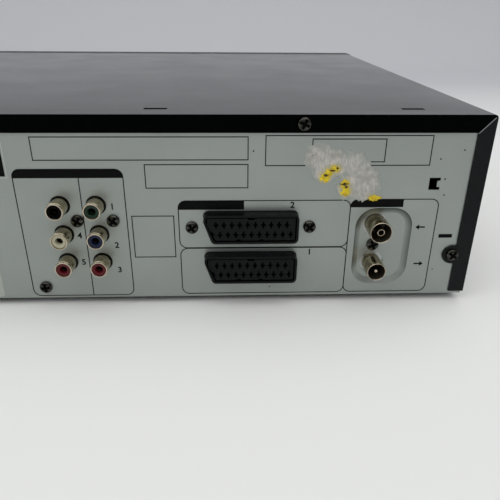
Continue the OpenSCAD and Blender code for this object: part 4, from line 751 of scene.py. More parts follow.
    @staticmethod
    def cross_head(radius: float, height: float, arm: float, reach: float, depth: float) -> Form:
        """Makes a pan head with a cross recess, its seat in the plane y = 0.

        Args:
            radius: Radius of the head.
            height: Height of its dome.
            arm: Width of a recess arm.
            reach: How far each arm reaches from the axis.
            depth: How deep the recess goes.

        Returns:
            The head, with its recess looking to +y and its second finish, a painted shade, in the
            recess.
        """
        taper, turns = 0.86, reversed(arc(math.pi / 2, 14))
        dome = [(radius * math.sin(a), height * (0.42 + 0.58 * math.cos(a))) for a in turns]
        form = Bench.spun([(0.0, 0.0), (radius * 0.96, 0.0), (radius, 0.12)] + dome, 56)
        for sign in (-1, 1):
            for axis in ((1, 0, 0), (0, 0, 1)):
                for offset in (arm / 2, reach):
                    Bench.cut(form, Vector(axis) * offset * sign, Vector(axis))
        inside: list[bmesh.types.BMFace] = []
        for face in form.faces:
            spot = face.calc_center_median()
            across, along = sorted((abs(spot.x), abs(spot.z)))
            if face.normal.y > 0.2 and spot.y > 0.1 and across < arm / 2 and along < reach:
                inside.append(face)
        before = set(form.faces)
        sunk = bmesh.ops.extrude_face_region(form, geom=inside)["geom"]
        bmesh.ops.delete(form, geom=[f for f in inside if f.is_valid], context="FACES_ONLY")
        for face in form.faces:
            face.material_index = 0 if face in before else 1
        for vert in (g for g in sunk if isinstance(g, bmesh.types.BMVert)):
            away = math.hypot(vert.co.x, vert.co.z) / reach
            vert.co.y = height - depth * (1.0 - 0.55 * away * away)
            vert.co.x *= taper
            vert.co.z *= taper
        bmesh.ops.recalc_face_normals(form, faces=form.faces)
        return form


@dataclass(frozen=True)
class Soften:
    """A box inside which the shallow bends round a flat get a wide rounding."""

    low: tuple[float, float, float]
    high: tuple[float, float, float]
    width: float
    segments: int = 5
    least: float = 12.0
    most: float = 75.0
    level: float = 0.98
    steep: float = 0.2

    def apply(self, form: Form) -> None:
        """Rounds the bends.

        Args:
            form: The form.
        """
        chosen = []
        for edge in form.edges:
            inside = all(self.low[i] < v.co[i] < self.high[i] for v in edge.verts for i in range(3))
            if not inside or len(edge.link_faces) != 2:
                continue
            tilts = [abs(f.normal.y) for f in edge.link_faces]
            bend = math.degrees(edge.calc_face_angle())
            shallow = max(tilts) > self.level and min(tilts) > self.steep
            if shallow and self.least < bend < self.most:
                chosen.append(edge)
        bmesh.ops.bevel(
            form, geom=chosen, offset=self.width, affect="EDGES", segments=self.segments,
            profile=0.5, material=-1, clamp_overlap=True,
        )


class Maker:
    """Turns forms and CAD nodes into dressed pieces of the scene."""

    FLAT_ANGLE = 0.8
    ROUNDED_ANGLE = 38

    def __init__(self, frame: dict) -> None:
        self.nodes: dict[str, bpy.types.Object] = frame["nodes"]
        self.slots = {part["node"]: part["material_slot"] for part in frame["record"]["subparts"]}

    def ties(self, node: str) -> tuple[str, str]:
        """Gives the body that a CAD node rides on, and its material slot."""
        return self.nodes[node]["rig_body"], self.slots[node]

    def box(self, node: str) -> tuple[Vector, Vector]:
        """Gives a CAD node's lowest and highest corners."""
        low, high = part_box(node)
        return low / MM, high / MM

    def piece(
        self, name: str, form: Form, finishes: Sequence[Finish], body: str, slot: str,
        replaces: Sequence[str] = (), smooth: float = 32.0,
    ) -> bpy.types.Object:
        """Makes a form a piece of the scene.

        Args:
            name: The piece's name.
            form: Its form, which is used up.
            finishes: The finish of each material index.
            body: The body that it rides on.
            slot: The record's material slot; not used.
            replaces: CAD nodes that it stands for.
            smooth: Degrees between faces up to which they shade as one.

        Returns:
            The piece.
        """
        mesh = mesh_of(form, name)
        made = show(name, mesh)
        for finish in finishes:
            mesh.materials.append(finish.material())
        mesh.set_sharp_from_angle(angle=math.radians(smooth))
        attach(made, body)
        if replaces:
            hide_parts(*replaces)
        LOG.info("made %s with %d faces on %s", name, len(mesh.polygons), body)
        return made

    def copied(self, node: str) -> Form:
        """Copies a CAD node's triangles and merges their points.

        Args:
            node: The CAD node.

        Returns:
            The copy, in metres.
        """
        form = bmesh.new()
        form.from_mesh(self.nodes[node].data)
        bmesh.ops.remove_doubles(form, verts=form.verts, dist=WELD)
        return form

    def refine(
        self, node: str, finishes: Sequence[Finish], edge: float = 0.2, segments: int = 2,
        pick: Callable[[Vector, Vector], int] | None = None, soften: Soften | None = None,
        cuts: Sequence[tuple[Vector, Vector]] = (), smooth: float = 32.0,
    ) -> None:
        """Makes a piece of a CAD node's copy, with rounded edges.

        Args:
            node: The CAD node that the piece stands for.
            finishes: The finish of each material index.
            edge: Width of the rounding.
            segments: Facets of the rounding.
            pick: Gives a face's material index from its middle and normal.
            soften: Bends that get a wider rounding first.
            cuts: Point and normal of planes along which flat faces are parted.
            smooth: Degrees between faces up to which they shade as one.
        """
        form = self.copied(node)
        bmesh.ops.dissolve_limit(
            form, angle_limit=math.radians(self.FLAT_ANGLE), use_dissolve_boundaries=False,
            verts=form.verts, edges=form.edges,
        )
        bmesh.ops.scale(form, vec=(1 / MM,) * 3, verts=form.verts)
        if soften:
            soften.apply(form)
        for point, normal in cuts:
            Bench.cut(form, point, normal, 1e-4)
        for face in form.faces:
            face.material_index = pick(face.calc_center_median(), face.normal) if pick else 0
        made = self.piece(node + "_fine", form, finishes, *self.ties(node), (node,), smooth)
        rounding = made.modifiers.new("rounded_edges", "BEVEL")
        rounding.width = edge * MM
        rounding.segments = segments
        rounding.limit_method = "ANGLE"
        rounding.angle_limit = math.radians(self.ROUNDED_ANGLE)
        rounding.use_clamp_overlap = True
        rounding.harden_normals = True

    def solids(self, node: str) -> list[tuple[Vector, Vector]]:
        """Gives the box of each separate solid of a CAD node.

        Args:
            node: The node's name.

        Returns:
            The lowest and highest corner of each, by x and then z.
        """
        form = self.copied(node)
        loose, boxes = set(form.verts), []
        for start in form.verts:
            if start not in loose:
                continue
            loose.discard(start)
            front, group = [start], []
            while front:
                vert = front.pop()
                group.append(vert.co / MM)
                for other in (edge.other_vert(vert) for edge in vert.link_edges):
                    if other in loose:
                        loose.discard(other)
                        front.append(other)
            boxes.append(extent(group))
        form.free()
        return sorted(boxes, key=lambda box: (round(box[0].x, 1), round(box[0].z, 1)))

    def dress(self, finish: Finish, *nodes: str) -> None:
        """Gives CAD nodes that stay as they are their finish.

        Args:
            finish: The finish.
            *nodes: The nodes' names.
        """
        for node in nodes:
            data = self.nodes[node].data
            data.materials.clear()
            data.materials.append(finish.material())
            LOG.info("dressed %s as %s", node, finish.title)


@dataclass
class Housing:
    """Cover, socket panel, chassis and feet."""

    cover_edge: float = 0.25
    panel_edge: float = 0.12
    foot_edge: float = 0.6
    lip: Point = (7.9, 8.3)
    lip_corner: Point = (1.0, 0.9)
    seam: float = 0.2
    seam_drop: float = 0.42
    seam_stand: float = 0.05
    dish_margin: float = 12.0
    dish_wider: float = 4.0
    dish_depth: float = 3.0
    dish_above: float = 0.5
    dish_round: float = 0.5

    def dish(self, maker: Maker) -> Soften:
        """Says which edges of the pressed recess are rounded, and how much.

        Args:
            maker: Where the aerial sockets' places come from.

        Returns:
            The box round the recess with its rounding.
        """
        (low, _), (_, high) = maker.box("aerial_out_plug"), maker.box("aerial_in_socket")
        edge, floor = self.dish_margin, PANEL_FACE - self.dish_depth
        start = (low.x - edge - self.dish_wider, floor, low.z - edge)
        end = (high.x + edge, PANEL_FACE + self.dish_above, high.z + edge)
        return Soften(start, end, self.dish_round)

    def seams(self) -> Form:
        """Makes the light folded edge below each mitre of the lip, partly bare metal and partly a
        painted highlight.

        Returns:
            Both edges in place.
        """
        parts = []
        for side in (-1, 1):
            corner, inner = (
                Vector((side * (HALF_WIDTH - across), 0, TOP - down))
                for across, down in (self.lip_corner, self.lip)
            )
            run = corner - inner
            strip = Bench.plate((0, run.length, -self.seam, self.seam))
            strip = Bench.thicken(strip, LIP_FACE - self.seam_stand, LIP_FACE + self.seam_stand)
            below = Matrix.Translation(inner - Vector((0, 0, self.seam_drop)))
            parts.append((strip, below @ Matrix.Rotation(-math.atan2(run.z, run.x), 4, "Y"), 0))
        return Bench.gather(parts)

    def build(self, maker: Maker) -> None:
        """Makes the housing's sheet parts and feet.

        Args:
            maker: What makes the pieces.
        """
        across, down = self.lip

        def pick(spot: Vector, normal: Vector) -> int:
            """Tells the top, the rear lip and the sides apart, so that the lip and sides take the
            cover paint's darker copies, a painted shade.
            """
            above = (TOP - spot.z) * across < (HALF_WIDTH - abs(spot.x)) * down
            return 0 if normal.z > 0.7 else 1 if normal.y > 0.5 and above else 2

        mitres = [
            (Vector((side * HALF_WIDTH, 0, TOP)), Vector((-side * down, 0, across)))
            for side in (-1, 1)
        ]
        # the lip and side paints are darker copies of the top's paint, a painted shade
        paints = [Stock.COVER, Stock.LIP_SHADE, Stock.FLANGE_SHADE]
        maker.refine("top_cover", paints, self.cover_edge, pick=pick, cuts=mitres)
        # light strips below the mitres, partly bare metal and partly a painted highlight
        maker.piece("mitre_edges", self.seams(), [Stock.EDGE_WEAR_AND_HIGHLIGHT], "housing", "cover_black")
        soften = self.dish(maker)
        maker.refine("rear_panel", [Stock.PANEL], self.panel_edge, soften=soften, smooth=12.0)
        maker.refine("bottom_chassis", [Stock.ZINC], self.panel_edge)
        maker.refine("feet", [Stock.FOOT], self.foot_edge, 3)


@dataclass
class Print:
    """Outlines, bands, figures and a blank label on the socket panel."""

    lift: float = 0.03
    band_lift: float = 0.048
    label_lift: float = 0.08
    line: float = 0.5
    fine_line: float = 0.35
    corner: float = 3.9
    label_corner: float = 1.0
    boxes: tuple[tuple[float, float, float, float, bool], ...] = (
        (172.8, 224.3, 25.0, 92.6, True),
        (114.2, 213.5, 10.0, 21.2, False),
        (114.2, 162.9, 22.9, 34.8, False),
        (150.2, 170.9, 48.5, 71.0, False),
        (63.9, 148.3, 40.8, 66.1, True),
        (63.9, 148.2, 65.9, 92.3, True),
        (20.4, 64.4, 40.5, 92.2, True),
        (28.1, 106.5, 9.4, 24.0, False),
        (49.9, 84.8, 11.0, 22.3, False),
    )
    divider: tuple[float, float, float] = (193.8, 29.4, 92.4)
    bands: tuple[tuple[float, float, float, float, str], ...] = (
        (172.8, 224.3, 25.0, 29.5, "cd"),
        (116.2, 148.3, 40.9, 45.6, "c"),
        (38.2, 64.1, 40.6, 44.8, "c"),
    )
    far_band: Patch = (227.1, 284.0, 10.0, 28.6)
    far_outline: Patch = (226.2, 284.9, 9.1, 29.5)
    label: Patch = (239.0, 300.0, 72.0, 92.5)
    figures: tuple[tuple[str, float, float], ...] = (
        ("1", 179.5, 43.7),
        ("2", 179.2, 64.0),
        ("3", 179.1, 77.7),
        ("4", 196.8, 58.7),
        ("5", 196.6, 73.2),
        ("2", 92.7, 43.3),
        ("1", 83.0, 68.6),
    )
    figure_height: float = 3.1
    arrows: tuple[tuple[float, float, int], ...] = ((28.1, 55.5, 1), (26.1, 75.9, -1))
    arrow: tuple[Point, ...] = (
        (-2.4, -0.4), (0.5, -0.4), (0.5, -1.4), (2.4, 0.0), (0.5, 1.4), (0.5, 0.4), (-2.4, 0.4),
    )
    bar: Patch = (11.05, 17.94, 59.4, 61.4)

    def marks(self) -> Form:
        """Makes the plain figures beside the sockets, the two arrows and the bar.

        Returns:
            The flat marks.
        """
        parts = [(Bench.numeral(mark, self.figure_height), at) for mark, *at in self.figures]
        for *at, way in self.arrows:
            parts.append((Bench.outline([(way * x, z) for x, z in self.arrow]), at))
        placed = []
        for form, at in parts:
            x, z = from_edge(*at)
            placed.append((form, Matrix.Translation((x, 0, z)), 0))
        return Bench.gather(placed + [(Bench.plate(patch(*self.bar)), STILL, 0)])

    def lay(self, maker: Maker, name: str, form: Form, finish: Finish, height: float) -> None:
        """Lays a flat form on the panel as a thin layer."""
        layer = Bench.thicken(form, PANEL_FACE, PANEL_FACE + height)
        maker.piece(name, layer, [finish], "housing", "panel_silver")

    def build(self, maker: Maker) -> None:
        """Prints the marks, frames and bands, and sticks the label.

        Args:
            maker: What makes the pieces.
        """
        self.lay(maker, "printed_marks", self.marks(), Stock.INK, self.lift)
        lines = [
            Bench.ring(patch(*box), self.line, self.corner if rounded else 0.0)
            for *box, rounded in self.boxes
        ]
        at, up, down = self.divider
        lines.append(Bench.plate(patch(at - self.line / 2, at + self.line / 2, up, down)))
        self.lay(maker, "printed_outlines", Bench.pile(lines), Stock.LINE, self.lift)
        bands = [Bench.plate(patch(*band), self.corner, corners) for *band, corners in self.bands]
        bands.append(Bench.plate(patch(*self.far_band)))
        self.lay(maker, "printed_bands", Bench.pile(bands), Stock.INK, self.band_lift)
        pale = Bench.ring(patch(*self.far_outline), self.fine_line)
        self.lay(maker, "printed_pale_outline", pale, Stock.PALE_INK, self.lift)
        label = Bench.plate(patch(*self.label), self.label_corner)
        self.lay(maker, "blank_label", label, Stock.LABEL, self.label_lift)


@dataclass
class Screws:
    """Cross-recess screws of the cover and the panel."""

    radius: float = 3.1
    height: float = 1.9
    arm: float = 1.45
    reach: float = 2.45
    depth: float = 1.8
    shank: float = 1.45
    point: float = 0.8
    taper: float = 0.5
    rooted: float = 0.05
    seeds: tuple[tuple[str, int], ...] = (("cover_screws", 5), ("panel_screws", 3))

    def set_of(self, maker: Maker, node: str, seed: int) -> Form:
        """Makes a screw for each solid of a CAD node, each turned its own way.

        Args:
            maker: Where the places come from.
            node: The CAD node that holds the screws.
            seed: Where the turns start.

        Returns:
            The screws in place.
        """
        turns = random.Random(seed)
        head = Bench.cross_head(self.radius, self.height, self.arm, self.reach, self.depth)
        parts = []
        for low, high in maker.solids(node):
            seat = high.y - self.height
            place = Matrix.Translation((0, seat, 0)) @ middle(low, high)
            long, thick, top = seat - low.y, self.shank, self.rooted
            side = [(thick, top), (thick, self.point - long), (thick - self.taper, -long)]
            turn = Matrix.Rotation(turns.uniform(0, math.pi / 2), 4, "Y")
            parts.append((head, place @ turn, -1))
            parts.append((Bench.spun([(0.0, top)] + side + [(0.0, -long)], 24), place, 0))
        return Bench.gather(parts)

    def build(self, maker: Maker) -> None:
        """Sets the screws of the cover and of the panel.

        Args:
            maker: What makes the pieces.
        """
        # the second finish is painted shade in the cross recesses
        paints = [Stock.SCREW, Stock.RECESS_SHADE]
        for node, seed in self.seeds:
            form = self.set_of(maker, node, seed)
            maker.piece(node + "_spun", form, paints, "housing", "screw_black", (node,))


@dataclass
class PhonoSockets:
    """Six phono sockets in two columns."""

    radius: float = 4.15
    bore: float = 3.4
    root: float = 164.0
    roll: float = 0.22
    groove: float = 0.16
    sunk: float = 0.35
    colours: tuple[Finish, ...] = (
        Stock.RED_INSERT, Stock.BLUE_INSERT, Stock.GREEN_INSERT,
        Stock.RED_INSERT, Stock.IVORY_INSERT, Stock.BLACK_INSERT,
    )

    def shell(self, tip: float) -> Form:
        """Spins one nickel shell with a groove and a rolled rim.

        Args:
            tip: The y of the rim.

        Returns:
            The shell about x = z = 0.
        """
        r, b, t, roll = self.radius, self.bore, tip, self.roll
        side = [(b, self.root), (r, self.root), (r, t - 1.4), (r - self.groove, t - 1.28)]
        side += [(r - self.groove, t - 1.12), (r, t - 1.0), (r, t - 0.5)]
        turns = arc(math.pi / 2, 4)
        rim = [(r - roll + roll * math.cos(a), t - roll + roll * math.sin(a)) for a in turns]
        lining = [(b + 0.3, t), (b + 0.1, t - 0.12), (b, t - 0.5), (b, self.root)]
        return Bench.polish(Bench.spun(side + rim + lining, 64), t - 0.24)

    def insert(self, tip: float) -> Form:
        """Spins one coloured insert with a flared centre hole, sunk a little below the rim.

        Args:
            tip: The y of the shell's rim.

        Returns:
            The insert about x = z = 0.
        """
        t = tip - self.sunk
        face = [(3.36, self.root + 4), (3.36, t - 0.2), (3.2, t), (2.15, t - 0.08)]
        hole = [(1.9, t - 0.25), (1.75, t - 0.6), (1.66, t - 7.4), (0.0, t - 7.4)]
        return Bench.spun(face + hole, 56)

    def contact(self, tip: float) -> Form:
        """Spins the spring contact seen down the hole.

        Args:
            tip: The y of the shell's rim.

        Returns:
            The contact about x = z = 0.
        """
        t = tip - 2.6
        leaf = [(1.57, t - 4.0), (1.57, t), (1.3, t + 0.15), (1.05, t - 0.1), (1.05, t - 4.0)]
        return Bench.spun(leaf, 32)

    def build(self, maker: Maker) -> None:
        """Makes the shells, inserts and contacts.

        Args:
            maker: What makes the pieces.
        """
        boxes = maker.solids("phono_shells")
        tip, places = boxes[0][1].y, [middle(low, high) for low, high in boxes]
        shell, insert, contact = self.shell(tip), self.insert(tip), self.contact(tip)
        shells = Bench.gather([(shell, place, -1) for place in places])
        metal = [Stock.NICKEL, Stock.RIM]
        maker.piece("phono_shells_spun", shells, metal, "housing", "nickel", ("phono_shells",))
        inserts = Bench.gather([(insert, place, i) for i, place in enumerate(places)])
        maker.piece(
            "phono_inserts_spun", inserts, self.colours, "housing", "insert_mixed",
            ("phono_inserts",),
        )
        contacts = Bench.gather([(contact, place, 0) for place in places])
        # the contacts down the holes take a dark metal, a painted shade
        maker.piece("phono_contacts", contacts, [Stock.SPRING_SHADE], "housing", "nickel")
        maker.refine("phono_block", [Stock.BLACK], 0.2)


@dataclass
class EuroSockets:
    """Two euro-connector sockets with their contacts."""

    pitch: float = 3.81
    sunk: float = 0.5
    floor: float = 6.4
    leaf: Patch = (-0.75, 0.75, -0.12, 0.12)
    leaf_long: float = 1.2
    leaf_corner: float = 0.1
    aside: float = -0.1
    rows: tuple[Point, ...] = ((4.5, 2.34), (5.0, -2.74))
    contacts: int = 10

    def build(self, maker: Maker) -> None:
        """Makes the sockets' mouldings and contacts.

        Args:
            maker: What makes the pieces.
        """
        low, high = maker.box("scart_sockets")
        face, centre = high.y - self.sunk, (low.x + high.x) / 2 + self.aside

        def pick(spot: Vector, normal: Vector) -> int:
            """Tells the inner face from the shroud."""
            return 1 if abs(spot.y - face) < 0.3 and normal.y > 0.8 else 0

        maker.refine("scart_sockets", [Stock.BLACK, Stock.GREY], 0.16, pick=pick)
        back, parts = face - self.floor, []
        leaf = Bench.plate(self.leaf, self.leaf_corner)
        Bench.thicken(leaf, back, back + self.leaf_long)
        for lower, upper in maker.solids("scart_sockets"):
            for first, rise in self.rows:
                z = (lower.z + upper.z) / 2 + rise
                for i in range(self.contacts):
                    x = centre + self.pitch * (i - first)
                    parts.append((leaf, Matrix.Translation((x, 0, z)), 0))
        # the contacts take a darker nickel, painted shade deep in the cavities
        maker.piece(
            "scart_contacts", Bench.gather(parts), [Stock.BORE_SHADE], "housing", "socket_black"
        )


@dataclass
class AerialSockets:
    """The coaxial input and output in their pressed recess."""

    root: float = 164.7
    wall: float = 0.5
    floor: float = 1.2

    def shell(self, radius: float, tip: float) -> tuple[Form, Form]:
        """Spins the nickel shell with its thin rim, and the lining of its bore.

        Args:
            radius: The shell's radius.
            tip: The y of its rim.

        Returns:
            The shell and the lining about x = z = 0.
        """
        b, o, t, inner = radius, self.root, tip, radius - self.wall
        side = [(inner, o), (b, o), (b, t - 0.4), (b - 0.06, t - 0.12), (b - 0.16, t)]
        rim = [(b - 0.32, t), (b - 0.44, t - 0.1), (inner, t - 0.4)]
        lining = [(inner, t - 0.4), (inner, o + self.floor), (0, o + self.floor)]
        return Bench.polish(Bench.spun(side + rim, 72), t - 0.11), Bench.spun(lining, 72)

    def tube(self, tip: float) -> Form:
        """Spins the input's centre tube.

        Args:
            tip: The y of the shell's rim.

        Returns:
            The tube about x = z = 0, its rolled lip in the second finish.
        """
        t, inner, outer = tip, (1.35, self.root + 3.0), (1.84, self.root + self.floor)
        lip = [(1.35, t - 0.9), (1.42, t - 0.64), (1.58, t - 0.58), (1.74, t - 0.66)]
        return Bench.polish(Bench.spun([inner] + lip + [(1.84, t - 0.95), outer], 40), t - 0.62)

    def pin(self, tip: float) -> Form:
        """Spins the output's centre pin.

        Args:
            tip: The y of the shell's rim.

        Returns:
            The pin about x = z = 0, its nose in the second finish.
        """
        t, foot = tip, (1.15, self.root + self.floor)
        nose = [(1.15, t - 2.2), (1.02, t - 1.6), (0.7, t - 1.2), (0, t - 1.1)]
        return Bench.polish(Bench.spun([foot] + nose, 32), t - 2.0)

    def build(self, maker: Maker) -> None:
        """Makes both aerial sockets.

        Args:
            maker: What makes the pieces.
        """
        # the bore linings take the third finish, a darker nickel as painted shade
        metal = [Stock.NICKEL, Stock.RIM, Stock.BORE_SHADE]
        for name, node, core in (
            ("aerial_in_spun", "aerial_in_socket", self.tube),
            ("aerial_out_spun", "aerial_out_plug", self.pin),
        ):
            low, high = maker.box(node)
            place = middle(low, high)
            shell, lining = self.shell((high.x - low.x) / 2, high.y)
            parts = [(shell, place, -1), (lining, place, 2), (core(high.y), place, -1)]
            maker.piece(name, Bench.gather(parts), metal, "housing", "nickel", (node,))


@dataclass
class StickerResidue:
    """A torn label's thin paper skin, its dried glue and a few specks of dirt."""

    skin: float = 0.09
    cell: float = 0.36
    halo: float = 2.0
    torn_edge: float = 0.42
    wall: float = 0.02
    seed: int = 21
    blob_form: tuple[float, float, float] = (0.34, 0.6, 0.04)
    crust_form: tuple[float, float, float] = (0.3, 0.8, 0.3)
    speck_form: tuple[float, float, float] = (0.12, 0.3, 0.0)
    field: Patch = (44.0, 92.0, 10.5, 46.5)
    lobes: tuple[Spot, ...] = (
        (80.0, 20.5, 8.5, 8.0),
        (72.0, 23.5, 10.5, 9.0),
        (63.5, 28.5, 9.5, 10.5),
        (57.0, 33.5, 9.0, 8.5),
        (78.0, 28.0, 8.0, 5.5),
        (68.0, 35.0, 6.0, 5.0),
    )
    blobs: tuple[Spot, ...] = (
        (77.6, 29.6, 1.9, 2.2),
        (76.0, 27.3, 1.7, 1.6),
        (73.2, 25.4, 2.0, 1.2),
        (68.2, 33.0, 1.8, 1.7),
        (67.4, 36.6, 1.9, 2.4),
        (53.2, 40.2, 2.5, 1.3),
    )
    crusts: tuple[Spot, ...] = (
        (77.3, 28.6, 0.9, 0.55),
        (74.4, 26.2, 1.1, 0.3),
        (72.2, 25.0, 0.6, 0.35),
        (68.4, 32.9, 1.3, 0.55),
        (67.2, 34.4, 0.7, 0.4),
    )
    specks: tuple[Point, ...] = (
        (111.9, 16.8), (12.6, 16.5), (23.3, 20.8), (19.7, 30.6), (18.8, 38.7), (18.2, 79.2),
        (102.8, 88.5),
    )

    def share(self, right: float, down: float) -> float:
        """Says how far inside the torn outline a place is.

        Args:
            right: Millimetres from the side flange.
            down: Millimetres below the top.

        Returns:
            Above 0 inside, below 0 outside.
        """
        inside = max(1.0 - math.hypot((right - a) / w, (down - b) / h) for a, b, w, h in self.lobes)
        coarse = noise.fractal(Vector((right / 7.5, down / 9.0, 3.7)), 0.6, 2.1, 4)
        fine = noise.fractal(Vector((right / 0.9, down / 3.0, 9.1)), 0.7, 2.2, 3)
        return inside + 0.35 * coarse + 0.16 * fine - 0.05

    def stain(self, right: float, down: float) -> float:
        """Says how yellow the paper is from the glue beside a place.

        Args:
            right: Millimetres from the side flange.
            down: Millimetres below the top.

        Returns:
            From 0, clean, to 1.
        """
        near = max(
            1.0 - math.hypot((right - a) / (w + self.halo), (down - b) / (h + self.halo))
            for a, b, w, h in self.blobs
        )
        cloud = noise.fractal(Vector((right / 1.8, down / 1.8, 5.0)), 0.6, 2.0, 3)
        return min(max(near * 1.5 + 0.3 * cloud, 0.0), 1.0)

    def paper(self) -> Form:
        """Tears the paper skin out of a fine grid.

        Returns:
            The skin, with how dense and how yellow it is on its points.
        """
        rect = patch(*self.field)
        cells = (int((rect[1] - rect[0]) / self.cell), int((rect[3] - rect[2]) / self.cell))
        form = Bench.grid(rect, PANEL_FACE, *cells)
        dense = form.verts.layers.float.new("skin_cover")
        yellow = form.verts.layers.float.new("glue_stain")
        spots = [(face, face.calc_center_median()) for face in form.faces]
        spare = [f for f, at in spots if self.share(at.x + HALF_WIDTH, TOP - at.z) < 0]
        bmesh.ops.delete(form, geom=spare, context="FACES")
        for _ in range(2):
            rim = [v for v in form.verts if v.is_boundary]
            bmesh.ops.smooth_vert(form, verts=rim, factor=0.5, use_axis_x=True, use_axis_z=True)
        for vert in form.verts:
            right, down = vert.co.x + HALF_WIDTH, TOP - vert.co.z
            deep = min(max(self.share(right, down) / self.torn_edge, 0.0), 1.0)
            swell = noise.fractal(Vector((vert.co.x / 1.2, vert.co.z / 4.0, 1.3)), 0.6, 2.0, 4)
            vert[dense] = deep
            vert[yellow] = self.stain(right, down)
            vert.co.y = PANEL_FACE + self.wall + self.skin * deep * (0.8 + 0.7 * swell)
        return form

    @staticmethod
    def lump(spot: Spot, flat: float, rough: float, lift: float) -> Form:
        """Makes one lump of glue or crust.

        Args:
            spot: Its place from the flange and the top, its half width and half height.
            flat: Its thickness as a share of its width.
            rough: How uneven it is.
            lift: How far its middle stands off the panel.

        Returns:
            The lump in place.
        """
        right, down, wide, high = spot
        x, z = from_edge(right, down)
        form = bmesh.new()
        bmesh.ops.create_icosphere(form, subdivisions=4, radius=1.0)
        for vert in form.verts:
            at = vert.co * 1.7 + Vector((right, down, 2))
            swell = 1 + rough * noise.fractal(at, 0.7, 2.0, 5)
            y = PANEL_FACE + lift + max(vert.co.y, -0.2) * flat * swell
            vert.co = Vector((x + vert.co.x * wide * swell, y, z + vert.co.z * high * swell))
        return form

    def build(self, maker: Maker) -> None:
        """Makes the paper, glue and specks.

        Args:
            maker: What makes the pieces.
        """
        ties = ("housing", "panel_silver")
        paper = maker.piece("torn_paper", self.paper(), [Stock.PAPER], *ties)
        wall = paper.modifiers.new("paper_wall", "SOLIDIFY")
        wall.thickness = self.wall * MM
        wall.offset = -1
        lumps = [(self.lump(spot, *self.blob_form), STILL, 0) for spot in self.blobs]
        lumps += [(self.lump(spot, *self.crust_form), STILL, 1) for spot in self.crusts]
        maker.piece("dried_glue", Bench.gather(lumps), [Stock.GLUE, Stock.CRUST], *ties)
        draws = random.Random(self.seed)
        specks = []
        for at in self.specks:
            spot = (*at, draws.uniform(0.3, 0.5), draws.uniform(0.3, 0.45))
            specks.append(self.lump(spot, *self.speck_form))
        maker.piece("dirt_specks", Bench.pile(specks), [Stock.DIRT], *ties)


